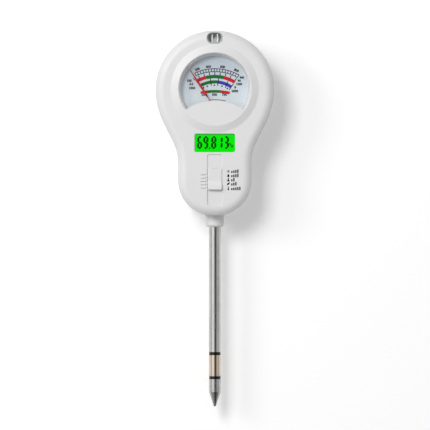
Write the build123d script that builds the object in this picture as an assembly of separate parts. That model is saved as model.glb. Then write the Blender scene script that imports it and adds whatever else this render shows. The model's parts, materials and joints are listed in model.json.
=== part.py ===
"""Soil tester: a hand-held meter head on a steel ground probe.

Millimetres. +Z runs up along the probe, the dial faces -Y and +X is to the right of the dial.
The origin is on the probe axis, at the lower face of the collar, where the probe stops in the ground.
"""
from build123d import *
import math
import os

# Case outline, seen from the front
head_radius = 35.45
head_low_z = 46.85
cheek_radius = 43.9
neck_half_width = 22.0
flank_angle = 26.6
neck_blend_radius = 29.0
base_half_flat = 1.0
base_z = 7.0

# Case section
front_depth = 16.0
rear_depth = 16.0
wall = 2.0
edge_slope = 2.9
edge_round = 5.1
side_round = 2.5
lip_height = 2.0
lip_fit = 0.12
seam_width = 0.4
seam_depth = 0.25
opening_round = 0.25

# Clearances
glue_gap = 0.05
slip_gap = 0.15
run_gap = 0.3
pivot_gap = 0.03

# Bezel, window and hood over the meter
dial_rise = 0.5
bezel_rise = 1.7
bezel_width = 4.2
bezel_blend = 1.2
window_margin = 14.05
bezel_land = 0.8
bezel_edge_round = 0.25
window_bevel = 0.45
hood_radius = 31.4
hood_drop = 7.2
pane_sink = 0.5
pane_thickness = 1.2
pane_round = 0.6
pane_ledge = 0.4
ledge_thickness = 1.2
well_taper = 1.4
well_wall = 1.4
dial_depth = 7.0
dial_thickness = 0.6
dial_margin = 1.2

# Meter movement, about an axis along Y
pivot_drop = 11.5
yoke_radius = 10.0
yoke_bore = 7.2
yoke_length = 7.0
yoke_back_gap = 1.1
magnet_radius = 5.4
magnet_length = 5.8
spoke_width = 2.0
spoke_length = 4.0
coil_half_width = 6.7
coil_strip = 0.8
coil_band = 3.0
coil_length = 8.2
frame_thickness = 1.1
bridge_thickness = 1.0
bridge_half_height = 1.5
bridge_leg_width = 1.6
jewel_radius = 1.0
jewel_proud = 0.1
jewel_step = 0.25
staff_radius = 0.6
staff_pivot_radius = 0.3
staff_pivot_length = 0.9
collet_radius = 1.0
notch_radius = 2.6
needle_tip_gap = 1.15
needle_rest_angle = 33.0
needle_thickness = 0.4
needle_plane = 2.0
needle_hub_radius = 1.6
needle_thin_width = 0.4
needle_thick_width = 1.2
needle_point_width = 0.4
needle_thick_start = 9.0
needle_thick_end = 18.0
needle_step = 1.5
needle_tail = 4.8
weight_radius = 1.1
weight_length = 1.2
spring_strip = 0.2
spring_height = 0.4
spring_pitch = 0.6
spring_half_turns = 6

# Display
lcd_bezel_gap = 0.5
lcd_window_width = 24.3
lcd_window_height = 11.1
lcd_window_corner = 1.1
lcd_sink = 0.8
lcd_glass_width = 27.0
lcd_low_margin = 0.7
lcd_high_margin = 3.4
lcd_glass_thickness = 2.2
backlight_margin = 0.4
backlight_thickness = 3.0
strip_height = 1.2
strip_edge = 0.8
strip_width = 23.0

# Slide switch and its thumb piece
groove_width = 9.1
groove_length = 30.6
groove_corner = 1.2
groove_depth = 0.7
groove_rise = 5.9
switch_steps = 4
switch_pitch = 2.0
slider_length = 12.9
slider_rise = 9.4
slider_side_gap = 0.3
slider_thin = 0.6
slider_mid = 1.05
slider_peak = 2.6
slider_ramp = 4.4
slider_crest = 1.2
slider_round = 0.4
stem_width = 2.8
stem_length = 3.6
stem_rise = 1.2
carrier_width = 7.2
carrier_thickness = 1.0
carrier_overlap = 0.3
fork_thickness = 1.1
fork_width = 4.0
lever_width = 2.2
lever_length = 1.8
lever_reach = 1.9
can_width = 7.4
can_height = 3.3
can_end = 3.5
can_wall = 0.3
switch_base_height = 1.0
block_width = 5.2
block_length = 3.8
block_height = 1.4
switch_pin_radius = 0.35
switch_pin_spread = 1.8
switch_pin_length = 2.4
rib_length = 3.4
rib_width = 0.8
rib_height = 0.8
rib_gap = 0.95
rib_round = 0.15
index_rise = 1.5

# Light sensor
sensor_drop = 4.5
sensor_width = 9.6
sensor_height = 6.7
sensor_end_flat = 0.15
sensor_pane = 1.6
cup_wall = 0.8
cup_depth = 8.5
diode_width = 2.2
diode_height = 2.3
diode_depth = 2.6
lead_thickness = 0.7
lead_spread = 1.6
lead_height = 4.6
lead_tail = 0.9

# Circuit board
board_depth = 7.0
board_thickness = 1.6
board_edge_gap = 0.6
board_foot = 9.5
board_head = 0.7
board_half_width = 18.8
post_radius = 2.2
small_screw_radius = 0.85
small_screw_head = 1.9
small_screw_head_height = 1.2
small_screw_length = 5.5
board_post_high_x = 16.6
board_post_high_drop = 3.4
board_post_low_x = 11.0
board_post_low_rise = 13.5
meter_post_x = 15.0
meter_post_drop = 4.7
chip_radius = 5.0
chip_height = 1.3
chip_round = 0.9
chip_rise = 33.2
chip_part_length = 2.0
chip_part_width = 1.2
chip_part_height = 0.7
chip_part_rows = 3
chip_part_pitch = 4.0
chip_part_x = 8.6

# Case screws
boss_radius = 3.2
screw_radius = 1.25
screw_hole_radius = 1.35
screw_head_radius = 2.4
screw_head_height = 1.7
screw_pocket_radius = 2.7
screw_seat_depth = 7.0
screw_length = 15.0
screw_slot_width = 0.7
screw_slot_depth = 0.7
grip_boss_inset = 6.2
grip_boss_rise = 26.0
head_boss_inset = 8.75
head_boss_angle = 30.0

# Battery compartment, two AAA cells side by side
cell_radius = 5.2
cell_length = 44.5
cell_nub_radius = 1.9
cell_nub_height = 0.8
cell_round = 0.4
cell_spacing = 10.8
contact_room = 2.3
contact_thickness = 0.4
contact_width = 8.0
contact_bow_width = 3.0
contact_dimple_radius = 1.6
tab_width = 2.0
tab_length = 2.6
tub_rise = 11.0
tub_wall = 1.2
tub_side_wall = 1.9
door_thickness = 2.0
door_lap = 0.9
door_edge_inset = 7.0
door_head_room = 2.9
door_gap = 0.2
tongue_width = 4.0
tongue_spread = 7.0
tongue_reach = 1.6
tongue_root = 1.0
tongue_thickness = 0.9
grip_groove_count = 4
grip_groove_pitch = 2.0
grip_groove_width = 0.9
grip_groove_depth = 0.5
grip_groove_length = 9.0
grip_groove_rise = 4.0

# Collar and probe
collar_radius = 5.4
collar_round = 1.9
seat_rise = 3.4
seat_radius = 9.0
flange_radius = 8.0
flange_height = 2.0
gasket_height = 0.8
collar_fit = 0.1
skirt_drop = 0.6
skirt_rise = 1.5
skirt_lip = 0.3
skirt_reach = 1.9
skirt_bow = 0.35
tube_radius = 3.5
tube_wall = 0.5
tube_shoulder = 0.2
tube_length = 75.0
upper_ring_length = 1.9
band_length = 12.6
lower_ring_length = 1.8
tip_length = 7.7
point_length = 8.8
point_radius = 0.8
core_socket = 6.0
core_bore_radius = 1.5
core_head = 0.6
bead_radius = 1.0
bead_length = 3.2

# Leads
wire_radius = 0.45
wire_bend = 1.6
probe_wire_spread = 0.78
probe_wire_pitch = 4.0
probe_wire_count = 3
sensor_wire_x = 11.8
meter_wire_x = 3.0

# Heights and depths that several pieces share
front_y = -front_depth
inner_front_y = front_y + wall
inner_rear_y = rear_depth - wall
head_z = head_low_z + head_radius
head_top_z = head_z + head_radius
dial_z = head_z + dial_rise
hood_z = dial_z - hood_drop - hood_radius
pivot_z = dial_z - pivot_drop
bezel_y = front_y - bezel_rise
window_radius = head_radius - window_margin
bezel_top_radius = window_radius + bezel_land
bezel_base_radius = bezel_top_radius + bezel_width
well_radius = window_radius - pane_ledge - well_taper
pane_front_y = bezel_y + pane_sink
pane_back_y = pane_front_y + pane_thickness
hood_back_y = pane_back_y + ledge_thickness
dial_front_y = bezel_y + dial_depth
dial_back_y = dial_front_y + dial_thickness
plate_radius = well_radius + well_wall + dial_margin
meter_front_y = dial_back_y + yoke_back_gap
meter_back_y = meter_front_y + yoke_length
meter_mid_y = (meter_front_y + meter_back_y) / 2
frame_back_y = meter_back_y + frame_thickness
bridge_front_y = hood_back_y + run_gap + jewel_proud
bridge_back_y = bridge_front_y + bridge_thickness
leg_x = (yoke_bore + yoke_radius) / 2
coil_front_y = meter_mid_y - coil_length / 2
coil_back_y = meter_mid_y + coil_length / 2
rear_bridge_y = frame_back_y + bridge_thickness
needle_front_y = dial_front_y - needle_plane
needle_back_y = needle_front_y + needle_thickness
needle_lean = math.radians(needle_rest_angle)
needle_length = pivot_drop * math.cos(needle_lean) + math.sqrt(
    (well_radius - needle_tip_gap) ** 2 - (pivot_drop * math.sin(needle_lean)) ** 2)
meter_post_z = pivot_z - meter_post_drop
plate_chord_z = meter_post_z + post_radius + run_gap

lcd_z = dial_z - bezel_base_radius - lcd_bezel_gap - lcd_window_height / 2
lcd_glass_low = lcd_z - lcd_window_height / 2 - lcd_low_margin
lcd_glass_high = lcd_z + lcd_window_height / 2 + lcd_high_margin
lcd_glass_z = (lcd_glass_low + lcd_glass_high) / 2
lcd_glass_height = lcd_glass_high - lcd_glass_low
lcd_front_y = front_y + lcd_sink
lcd_back_y = lcd_front_y + lcd_glass_thickness

board_front_y = -board_depth
board_back_y = board_front_y + board_thickness
board_low = base_z + board_foot
board_high = lcd_glass_high + board_head

groove_low = base_z + groove_rise
groove_floor_y = front_y + groove_depth
slider_low = groove_low + slider_rise
slider_width = groove_width - 2 * slider_side_gap
slider_back_y = groove_floor_y - slip_gap
switch_travel = switch_steps * switch_pitch
stem_low = slider_low + stem_rise
stem_high = stem_low + stem_length
stem_mid = (stem_low + stem_high) / 2
slot_low = stem_low - door_gap
slot_high = stem_high + switch_travel + door_gap
carrier_front_y = inner_front_y + slip_gap
carrier_back_y = carrier_front_y + carrier_thickness
can_front_y = board_front_y - can_height
can_low = stem_mid - lever_length / 2 - can_end
can_high = stem_mid + lever_length / 2 + switch_travel + can_end
lever_front_y = can_front_y - lever_reach
index_low = slider_low + index_rise

sensor_z = head_top_z - sensor_drop
sensor_corner = sensor_height / 2 - sensor_end_flat
cup_back_y = front_y + cup_depth
lead_front_y = cup_back_y - cup_wall - diode_depth - lead_thickness

tub_low = base_z + tub_rise
tub_high = tub_low + cell_length + 2 * contact_room
tub_half = cell_spacing / 2 + cell_radius + run_gap
tub_front_y = inner_rear_y - slip_gap - 2 * cell_radius - run_gap
door_half = tub_half + door_lap
door_high = tub_high + door_head_room
door_inner_y = rear_depth - door_thickness
cell_y = tub_front_y + slip_gap + cell_radius

seat_z = base_z + seat_rise
gasket_top = seat_z + gasket_height
flange_top = gasket_top + flange_height
bore_radius = tube_radius - tube_wall
tube_head_radius = tube_radius - tube_shoulder
core_radius = bore_radius - glue_gap
core_top = flange_top + core_head
band_top = -tube_length - upper_ring_length
band_low = band_top - band_length
tip_top = band_low - lower_ring_length
tip_shoulder = tip_top - tip_length
core_low = tip_top - core_socket
bead_top = core_low + bead_length

head_boss_radius = head_radius - head_boss_inset
head_boss_x = head_boss_radius * math.cos(math.radians(head_boss_angle))
head_boss_z = head_z + head_boss_radius * math.sin(math.radians(head_boss_angle))
grip_boss_x = neck_half_width - grip_boss_inset
grip_boss_z = base_z + grip_boss_rise
case_screw_places = [(side * x, z) for x, z in ((grip_boss_x, grip_boss_z), (head_boss_x, head_boss_z))
                     for side in (-1, 1)]
board_post_places = [(side * x, z) for x, z in ((board_post_high_x, board_high - board_post_high_drop),
                                                (board_post_low_x, base_z + board_post_low_rise))
                     for side in (-1, 1)]
meter_post_places = [(-meter_post_x, meter_post_z), (meter_post_x, meter_post_z)]
screw_seat_y = rear_depth - screw_seat_depth
small_hole_radius = small_screw_radius + glue_gap
small_hole_reach = small_screw_length + run_gap
wire_lay_y = board_back_y + wire_radius


def slab(sketch, y_front, y_back):
    """An x-z sketch made solid between two depths."""
    return extrude(Plane.XZ.offset(-y_back) * sketch, amount=y_back - y_front)


def disc(radius, y_front, y_back, x=0, z=0):
    """A round bar along Y."""
    return slab(Pos(x, z) * Circle(radius), y_front, y_back)


def bar(width, z_low, z_high, y_front, y_back, x=0):
    """A square bar, centred on x."""
    return slab(Pos(x, (z_low + z_high) / 2) * Rectangle(width, z_high - z_low), y_front, y_back)


def rod(radius, z_low, z_high, x=0, y=0):
    """A round bar along Z."""
    return Pos(x, y, z_low) * extrude(Circle(radius), amount=z_high - z_low)


def tapered_disc(front_radius, back_radius, y_front, y_back, z):
    """A cone cut short, along Y."""
    seat = Plane(origin=(0, y_back, z), x_dir=(1, 0, 0), z_dir=(0, -1, 0))
    base = (Align.CENTER, Align.CENTER, Align.MIN)
    return seat * Cone(back_radius, front_radius, y_back - y_front, align=base)


def lead(points):
    """An insulated lead along straight runs joined by arcs."""
    path = FilletPolyline(*points, radius=wire_bend)
    section = Plane(origin=path @ 0, z_dir=path % 0) * Circle(wire_radius)
    return sweep(section, path=path)


def about_pivot(shape):
    """Turn a piece drawn pointing straight up to where the needle rests."""
    return Pos(0, 0, pivot_z) * Rot(0, -needle_rest_angle, 0) * shape


def body_outline(inset):
    """The case seen from the front, drawn in by an inset."""
    slope = math.radians(flank_angle)
    normal = Vector(math.cos(slope), -math.sin(slope))
    cheek = Vector(head_radius - cheek_radius, head_z)
    blend_x = neck_half_width + neck_blend_radius
    blend_reach = cheek_radius + neck_blend_radius
    blend_z = head_z + ((blend_x - cheek.X) * math.cos(slope) - blend_reach) / math.sin(slope)
    blend = Vector(blend_x, blend_z)
    base_corner_radius = neck_half_width - base_half_flat
    corner = Vector(base_half_flat, base_z + base_corner_radius)
    blend_middle = (normal + Vector(1, 0)).normalized()
    cheek_point = cheek + blend_middle * (cheek_radius - inset)
    corner_middle = Vector(1, -1).normalized()
    half = neck_half_width - inset
    widest = Vector(head_radius - inset, head_z)
    flank_top = cheek + normal * (cheek_radius - inset)
    flank_low = blend - normal * (neck_blend_radius + inset)
    blend_point = blend - blend_middle * (neck_blend_radius + inset)
    corner_point = corner + corner_middle * (base_corner_radius - inset)
    neck_top = Vector(half, blend_z)
    neck_low = Vector(half, corner.Y)
    foot = Vector(corner.X, base_z + inset)
    edges = [ThreePointArc(widest, (0, head_top_z - inset), (-widest.X, widest.Y))]
    for side in (1, -1):
        wide, cheek_way, top, low, bend, upper, lower, turn, base = [
            (side * point.X, point.Y)
            for point in (widest, cheek_point, flank_top, flank_low, blend_point, neck_top, neck_low,
                          corner_point, foot)]
        edges += [ThreePointArc(wide, cheek_way, top), Line(top, low), ThreePointArc(low, bend, upper),
                  Line(upper, lower), ThreePointArc(lower, turn, base)]
    edges.append(Line((foot.X, foot.Y), (-foot.X, foot.Y)))
    return make_face(edges)


def window_outline(inset):
    """The meter's window: a circle with the hood's arc cut out of its foot."""
    return Pos(0, dial_z) * Circle(window_radius - inset) - Pos(0, hood_z) * Circle(hood_radius)


def sensor_outline(inset):
    """The light sensor's window, a short barrel shape."""
    shape = RectangleRounded(sensor_width - 2 * inset, sensor_height - 2 * inset, sensor_corner - inset)
    return Pos(0, sensor_z) * shape


def edges_at(shape, y):
    """Edges lying in the plane at one depth."""
    return shape.edges().filter_by(lambda edge: all(abs(v.Y - y) < glue_gap for v in edge.vertices())
                                   and abs((edge @ 0.5).Y - y) < glue_gap)


def rim(shape, y, low, high, half_width):
    """Edges of an opening in the plane at one depth, between two heights."""
    return edges_at(shape, y).filter_by(
        lambda edge: low - glue_gap < (edge @ 0.5).Z < high + glue_gap
        and abs((edge @ 0.5).X) < half_width + glue_gap)


def outer_form():
    """The closed outside of the case, edges sloped and rounded."""
    form = slab(body_outline(0), front_y, rear_depth)
    for y, inward in ((front_y, 1), (rear_depth, -1)):
        form = chamfer(edges_at(form, y), edge_slope)
        form = fillet(edges_at(form, y), edge_round)
        form = fillet(edges_at(form, y + inward * edge_slope), side_round)
    return form


def inner_form():
    """The hollow of the case, one wall in from the outside."""
    form = slab(body_outline(wall), inner_front_y, inner_rear_y)
    slope = edge_slope - wall * (2 - math.sqrt(2))
    for y in (inner_front_y, inner_rear_y):
        form = chamfer(edges_at(form, y), slope)
    return form


def half_space(front):
    """All of the space in front of the parting plane, or behind it."""
    size = 2 * (head_top_z + front_depth + rear_depth)
    side = Align.MAX if front else Align.MIN
    return Box(size, size, size, align=(Align.CENTER, side, Align.CENTER))


def seam_ring():
    """The fine groove that runs round the case where its halves meet."""
    ring = body_outline(-seam_depth) - body_outline(seam_depth)
    return slab(ring, -seam_width / 2, seam_width / 2)


def collar_seat():
    """A flat pad inside the base that the collar's gasket sits on."""
    return rod(seat_radius, base_z + wall / 2, seat_z)


def base_skirt():
    """Flare that brings the case's base down round the collar."""
    bore = collar_radius + collar_fit
    skirt_low = base_z - skirt_drop
    skirt_high = base_z + skirt_rise
    foot = (bore + skirt_lip, skirt_low)
    top = (bore + skirt_reach, skirt_high)
    profile = [Polyline(top, (0, skirt_high), (0, skirt_low), foot), SagittaArc(foot, top, skirt_bow)]
    return revolve(Plane.XZ * make_face(profile), Axis.Z)


outside = outer_form() + base_skirt()
hollow = inner_form()
seam = seam_ring()
collar_hole = rod(collar_radius + collar_fit, 0, flange_top)


def front_shell():
    """Front half of the case, with bezel, hood, meter well, display opening and switch groove."""
    bezel = tapered_disc(bezel_top_radius, bezel_base_radius, bezel_y, front_y, dial_z)
    skin = outside + bezel
    skin = fillet(edges_at(skin, front_y).filter_by(GeomType.CIRCLE).filter_by(
        lambda edge: abs(edge.radius - bezel_base_radius) < glue_gap), bezel_blend)
    skin = fillet(edges_at(skin, bezel_y), bezel_edge_round)
    shell = (skin - hollow) & half_space(True)
    shell -= disc(bezel_top_radius, hood_back_y, inner_front_y, z=dial_z)
    well_back = dial_front_y
    well = tapered_disc(window_radius + well_wall, well_radius + well_wall, hood_back_y, well_back, dial_z)
    shell += well - bar(3 * window_radius, 0, plate_chord_z, hood_back_y, well_back)
    shell -= tapered_disc(window_radius - pane_ledge, well_radius, hood_back_y, well_back, dial_z)
    shell -= slab(window_outline(pane_ledge), bezel_y, hood_back_y)
    shell -= slab(window_outline(0), bezel_y, pane_back_y)
    bevel_y = bezel_y + window_bevel
    bevel = tapered_disc(window_radius + window_bevel, window_radius, bezel_y, bevel_y, dial_z)
    shell -= bevel - disc(hood_radius, bezel_y, bevel_y, z=hood_z)

    for x, z in case_screw_places:
        shell += disc(boss_radius, front_y + wall / 2, 0, x, z)
        shell -= disc(screw_hole_radius, screw_seat_y - screw_length - run_gap, 0, x, z)
    for x, z in board_post_places:
        shell += disc(post_radius, inner_front_y - wall / 2, board_front_y, x, z)
        shell -= disc(small_hole_radius, board_back_y - small_hole_reach, board_front_y, x, z)
    for x, z in meter_post_places:
        shell += disc(post_radius, inner_front_y - wall, meter_back_y, x, z)
        shell -= disc(small_hole_radius, frame_back_y - small_hole_reach, meter_back_y, x, z)

    opening = Pos(0, lcd_z) * RectangleRounded(lcd_window_width, lcd_window_height, lcd_window_corner)
    shell -= slab(opening, front_y, lcd_front_y)
    lcd_half = lcd_window_height / 2
    lcd_rim = rim(shell, front_y, lcd_z - lcd_half, lcd_z + lcd_half, lcd_window_width / 2)
    shell = fillet(lcd_rim, opening_round)
    shell -= bar(lcd_glass_width + 2 * slip_gap, lcd_glass_low - slip_gap, lcd_glass_high + slip_gap,
                 lcd_front_y, inner_front_y)
    groove = RectangleRounded(groove_width, groove_length, groove_corner)
    shell -= slab(Pos(0, groove_low + groove_length / 2) * groove, front_y, groove_floor_y)
    groove_high = groove_low + groove_length
    shell = fillet(rim(shell, front_y, groove_low, groove_high, groove_width / 2), opening_round)
    shell -= bar(stem_width + 2 * door_gap, slot_low, slot_high, groove_floor_y, inner_front_y)
    for step in range(switch_steps + 1):
        rib_x = -(groove_width / 2 + rib_gap + rib_length / 2)
        rib_z = index_low + step * switch_pitch
        rib = slab(Pos(rib_x, rib_z) * SlotOverall(rib_length, rib_width), front_y - rib_height, front_y)
        shell += fillet(edges_at(rib, front_y - rib_height), rib_round)
    shell -= slab(sensor_outline(-glue_gap), bezel_y, cup_back_y)

    shell += (collar_seat() & hollow) & half_space(True)
    shell -= slab(body_outline(wall / 2) - body_outline(wall), -lip_height - slip_gap, 0)
    return shell - collar_hole - seam


def rear_shell():
    """Rear half of the case, with the battery tub, the screw pockets and the lip that centres it."""
    shell = (outside - hollow) & half_space(False)
    shell += slab(body_outline(wall / 2 + lip_fit) - body_outline(wall), -lip_height, 0)
    shell += bar(2 * (tub_half + tub_side_wall), tub_low - tub_wall, tub_high + tub_wall,
                 tub_front_y - tub_wall, inner_rear_y)
    shell -= bar(2 * tub_half, tub_low, tub_high, tub_front_y, inner_rear_y)
    shell -= slab(door_outline(0), door_inner_y - slip_gap, rear_depth)
    for x, z in case_screw_places:
        shell += disc(boss_radius, 0, inner_rear_y, x, z)
        shell -= disc(screw_hole_radius, 0, screw_seat_y, x, z)
        shell -= disc(screw_pocket_radius, screw_seat_y, rear_depth, x, z)
    reach = math.hypot(door_thickness + slip_gap + tongue_thickness, tongue_reach) + run_gap
    for side in (-1, 1):
        shell -= bar(tongue_width + 2 * run_gap, tub_high, tub_high + tub_wall,
                     rear_depth - reach, inner_rear_y, side * tongue_spread)
        shell -= bar(tab_width + 2 * slip_gap, tub_low - tub_wall, tub_low,
                     cell_y - contact_thickness / 2 - slip_gap, cell_y + contact_thickness / 2 + slip_gap,
                     side * cell_spacing / 2)
    shell += (collar_seat() & hollow) & half_space(False)
    return shell - collar_hole - seam


def door_outline(inset):
    """The battery opening in the back, rounded at its foot like the case."""
    field = body_outline(door_edge_inset + inset)
    high = door_high + door_gap - inset
    return field & Pos(0, high / 2) * Rectangle(2 * (door_half - inset), high)


def battery_door():
    """Cover over the cells: two tongues at its head, finger grooves at its foot."""
    door = slab(door_outline(door_gap), door_inner_y, rear_depth)
    door = fillet(edges_at(door, rear_depth), opening_round)
    tongue_back = door_inner_y - slip_gap
    tongue_front = tongue_back - tongue_thickness
    root = door_high - tongue_root
    for side in (-1, 1):
        x = side * tongue_spread
        door += bar(tongue_width, root, door_high, tongue_front, door_inner_y, x)
        door += bar(tongue_width, root, door_high + tongue_reach, tongue_front, tongue_back, x)
    for row in range(grip_groove_count):
        z = base_z + door_edge_inset + grip_groove_rise + row * grip_groove_pitch
        groove = Pos(0, z) * SlotOverall(grip_groove_length, grip_groove_width)
        door -= slab(groove, rear_depth - grip_groove_depth, rear_depth)
    return door


def case_screws():
    """Four slotted screws that go in from the back."""
    screws = []
    for x, z in case_screw_places:
        screw = disc(screw_head_radius, screw_seat_y, screw_seat_y + screw_head_height, x, z)
        screw += disc(screw_radius, screw_seat_y - screw_length, screw_seat_y, x, z)
        screw_top = screw_seat_y + screw_head_height
        screw -= bar(2 * screw_head_radius, z - screw_slot_width / 2, z + screw_slot_width / 2,
                     screw_top - screw_slot_depth, screw_top, x)
        screws.append(screw)
    return screws


def small_screws(places, seat_y):
    """Small board screws whose heads sit on a face at one depth."""
    screws = []
    for x, z in places:
        screw = disc(small_screw_head, seat_y, seat_y + small_screw_head_height, x, z)
        screw += disc(small_screw_radius, seat_y - small_screw_length, seat_y, x, z)
        screws.append(screw)
    return screws


def dial_window():
    """Clear pane with a rounded front edge, set just below the rim of the bezel."""
    pane = disc(window_radius - glue_gap, pane_front_y, pane_back_y, z=dial_z)
    pane = fillet(edges_at(pane, pane_front_y), pane_round)
    return pane - disc(hood_radius + glue_gap, pane_front_y, pane_back_y, z=hood_z)


def dial_plate():
    """Printed plate, glued to the back of the well and notched for the meter's pivot and bridge."""
    plate = disc(plate_radius, dial_front_y, dial_back_y, z=dial_z)
    plate -= bar(3 * plate_radius, 0, plate_chord_z, dial_front_y, dial_back_y)
    plate -= disc(notch_radius, dial_front_y, dial_back_y, z=pivot_z)
    plate -= bar(2 * notch_radius, plate_chord_z, pivot_z, dial_front_y, dial_back_y)
    for side in (-1, 1):
        plate -= bar(bridge_leg_width + 2 * run_gap, plate_chord_z, pivot_z + bridge_half_height + run_gap,
                     dial_front_y, dial_back_y, side * leg_x)
    return plate


def meter_yoke():
    """Soft-iron ring that closes the magnet's field."""
    ring = disc(yoke_radius, meter_front_y, meter_back_y, z=pivot_z)
    return ring - disc(yoke_bore, meter_front_y, meter_back_y, z=pivot_z)


def meter_magnet():
    """Round magnet inside the coil."""
    return disc(magnet_radius, meter_mid_y - magnet_length / 2, meter_mid_y + magnet_length / 2, z=pivot_z)


def magnet_spokes():
    """Two spokes that hold the magnet in the yoke, clear of the coil's swing."""
    front, back = meter_mid_y - spoke_length / 2, meter_mid_y + spoke_length / 2
    gap = disc(yoke_bore, front, back, z=pivot_z) - disc(magnet_radius, front, back, z=pivot_z)
    spokes = gap & bar(spoke_width, pivot_z - yoke_bore, pivot_z + yoke_bore, front, back)
    return list(spokes.solids())


def meter_frame():
    """Plate behind the yoke, with an ear to each of the two posts."""
    frame = disc(yoke_radius, meter_back_y, frame_back_y, z=pivot_z)
    for x, z in meter_post_places:
        frame += bar(abs(x), z - post_radius, z + post_radius, meter_back_y, frame_back_y, x / 2)
        frame += disc(post_radius, meter_back_y, frame_back_y, x, z)
        frame -= disc(small_hole_radius, meter_back_y, frame_back_y, x, z)
    return frame - disc(yoke_bore + pivot_gap, meter_back_y, frame_back_y, z=pivot_z)


def bridge(y_front, y_back, leg_front, leg_back):
    """A strip across the pivot on two legs, bored for a jewel."""
    strip = bar(2 * leg_x + bridge_leg_width, pivot_z - bridge_half_height, pivot_z + bridge_half_height,
                y_front, y_back)
    for side in (-1, 1):
        strip += bar(bridge_leg_width, pivot_z - bridge_half_height, pivot_z + bridge_half_height,
                     leg_front, leg_back, side * leg_x)
    return strip - disc(jewel_radius, y_front, y_back, z=pivot_z)


def jewel_bearings():
    """Two jewels, each with a blind hole for a staff pivot."""
    front_face = bridge_back_y + jewel_step
    front = disc(jewel_radius, bridge_front_y - jewel_proud, front_face, z=pivot_z)
    hole_radius = staff_pivot_radius + pivot_gap
    front -= disc(hole_radius, front_face - staff_pivot_length, front_face, z=pivot_z)
    rear_face = frame_back_y - jewel_step
    rear = disc(jewel_radius, rear_face, rear_bridge_y + jewel_proud, z=pivot_z)
    rear -= disc(hole_radius, rear_face, rear_face + staff_pivot_length, z=pivot_z)
    return [front, rear]


def hairspring():
    """Flat spiral round the staff's collet, its outer end run out to a leg of the front bridge."""
    y_front = needle_back_y + slip_gap
    y_back = y_front + spring_height
    inner = collet_radius + slip_gap
    strip = None
    for half in range(spring_half_turns):
        radius = inner + half * spring_pitch / 2
        centre = (spring_pitch / 4) * (1 if half % 2 else -1) + spring_pitch / 4
        ring = Circle(radius + spring_strip) - Circle(radius)
        side = 1 if half % 2 == 0 else -1
        size = 4 * (radius + spring_strip)
        piece = Pos(centre, pivot_z) * (ring & Pos(0, side * size / 2) * Rectangle(size, size))
        strip = piece if strip is None else strip + piece
    end_x = max(vertex.X for vertex in strip.vertices())
    reach = leg_x - bridge_leg_width / 2
    tail = Pos((end_x + reach) / 2 - spring_strip / 2, pivot_z + spring_strip / 2) * Rectangle(
        reach - end_x + spring_strip, spring_strip)
    return slab(strip + tail, y_front, y_back)


def needle():
    """Red pointer, thin at the hub and broad in the middle, with a short tail."""
    thin, thick, point = needle_thin_width / 2, needle_thick_width / 2, needle_point_width / 2
    profile = [(thin, -needle_tail), (thin, needle_thick_start - needle_step), (thick, needle_thick_start),
               (thick, needle_thick_end), (point, needle_length)]
    mirrored = [(-x, z) for x, z in reversed(profile)]
    shape = make_face(Polyline(*profile, *mirrored, close=True))
    shape += Circle(needle_hub_radius)
    shape -= Circle(staff_radius + glue_gap)
    return about_pivot(slab(shape, needle_front_y, needle_back_y))


def needle_weights():
    """Two small weights on the needle's tail, in front of it and behind it."""
    front = disc(weight_radius, needle_front_y - weight_length, needle_front_y, z=-needle_tail)
    back = disc(weight_radius, needle_back_y, needle_back_y + weight_length, z=-needle_tail)
    return [about_pivot(front), about_pivot(back)]


def needle_staff():
    """Both stubs of the staff, fixed to the coil's ends, each with a fine pivot."""
    front_shoulder = bridge_back_y + jewel_step + glue_gap
    front = disc(staff_radius, front_shoulder, coil_front_y, z=pivot_z)
    pivot_reach = staff_pivot_length - glue_gap
    front += disc(staff_pivot_radius, front_shoulder - pivot_reach, front_shoulder, z=pivot_z)
    front += disc(collet_radius, needle_back_y, needle_back_y + spring_height + 2 * slip_gap, z=pivot_z)
    rear_shoulder = frame_back_y - jewel_step - glue_gap
    rear = disc(staff_radius, coil_back_y, rear_shoulder, z=pivot_z)
    rear += disc(staff_pivot_radius, rear_shoulder, rear_shoulder + pivot_reach, z=pivot_z)
    return [front, rear]


def moving_coil():
    """Flat rectangular coil round the magnet."""
    width = 2 * coil_half_width
    loop = Box(width, coil_length, coil_band)
    loop -= Box(width - 2 * coil_strip, coil_length - 2 * coil_strip, coil_band)
    return about_pivot(Pos(0, meter_mid_y, 0) * loop)


def lcd_glass():
    """Glass of the display, behind its opening."""
    return bar(lcd_glass_width, lcd_glass_low, lcd_glass_high, lcd_front_y, lcd_back_y)


def lcd_pockets(inset):
    """Backlight and contact strip, as solids drawn in by an inset."""
    low = lcd_z - lcd_window_height / 2 - backlight_margin
    high = lcd_z + lcd_window_height / 2 + backlight_margin
    light = bar(lcd_window_width + 2 * (backlight_margin - inset), low + inset, high - inset,
                lcd_back_y, lcd_back_y + backlight_thickness)
    strip_top = lcd_glass_high - strip_edge
    strip = bar(strip_width - 2 * inset, strip_top - strip_height + inset, strip_top - inset,
                lcd_back_y, board_front_y)
    return light, strip


def lcd_frame():
    """Holder between the display glass and the board."""
    frame = bar(lcd_glass_width, lcd_glass_low, lcd_glass_high, lcd_back_y, board_front_y)
    for pocket in lcd_pockets(0):
        frame -= pocket
    return frame


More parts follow.
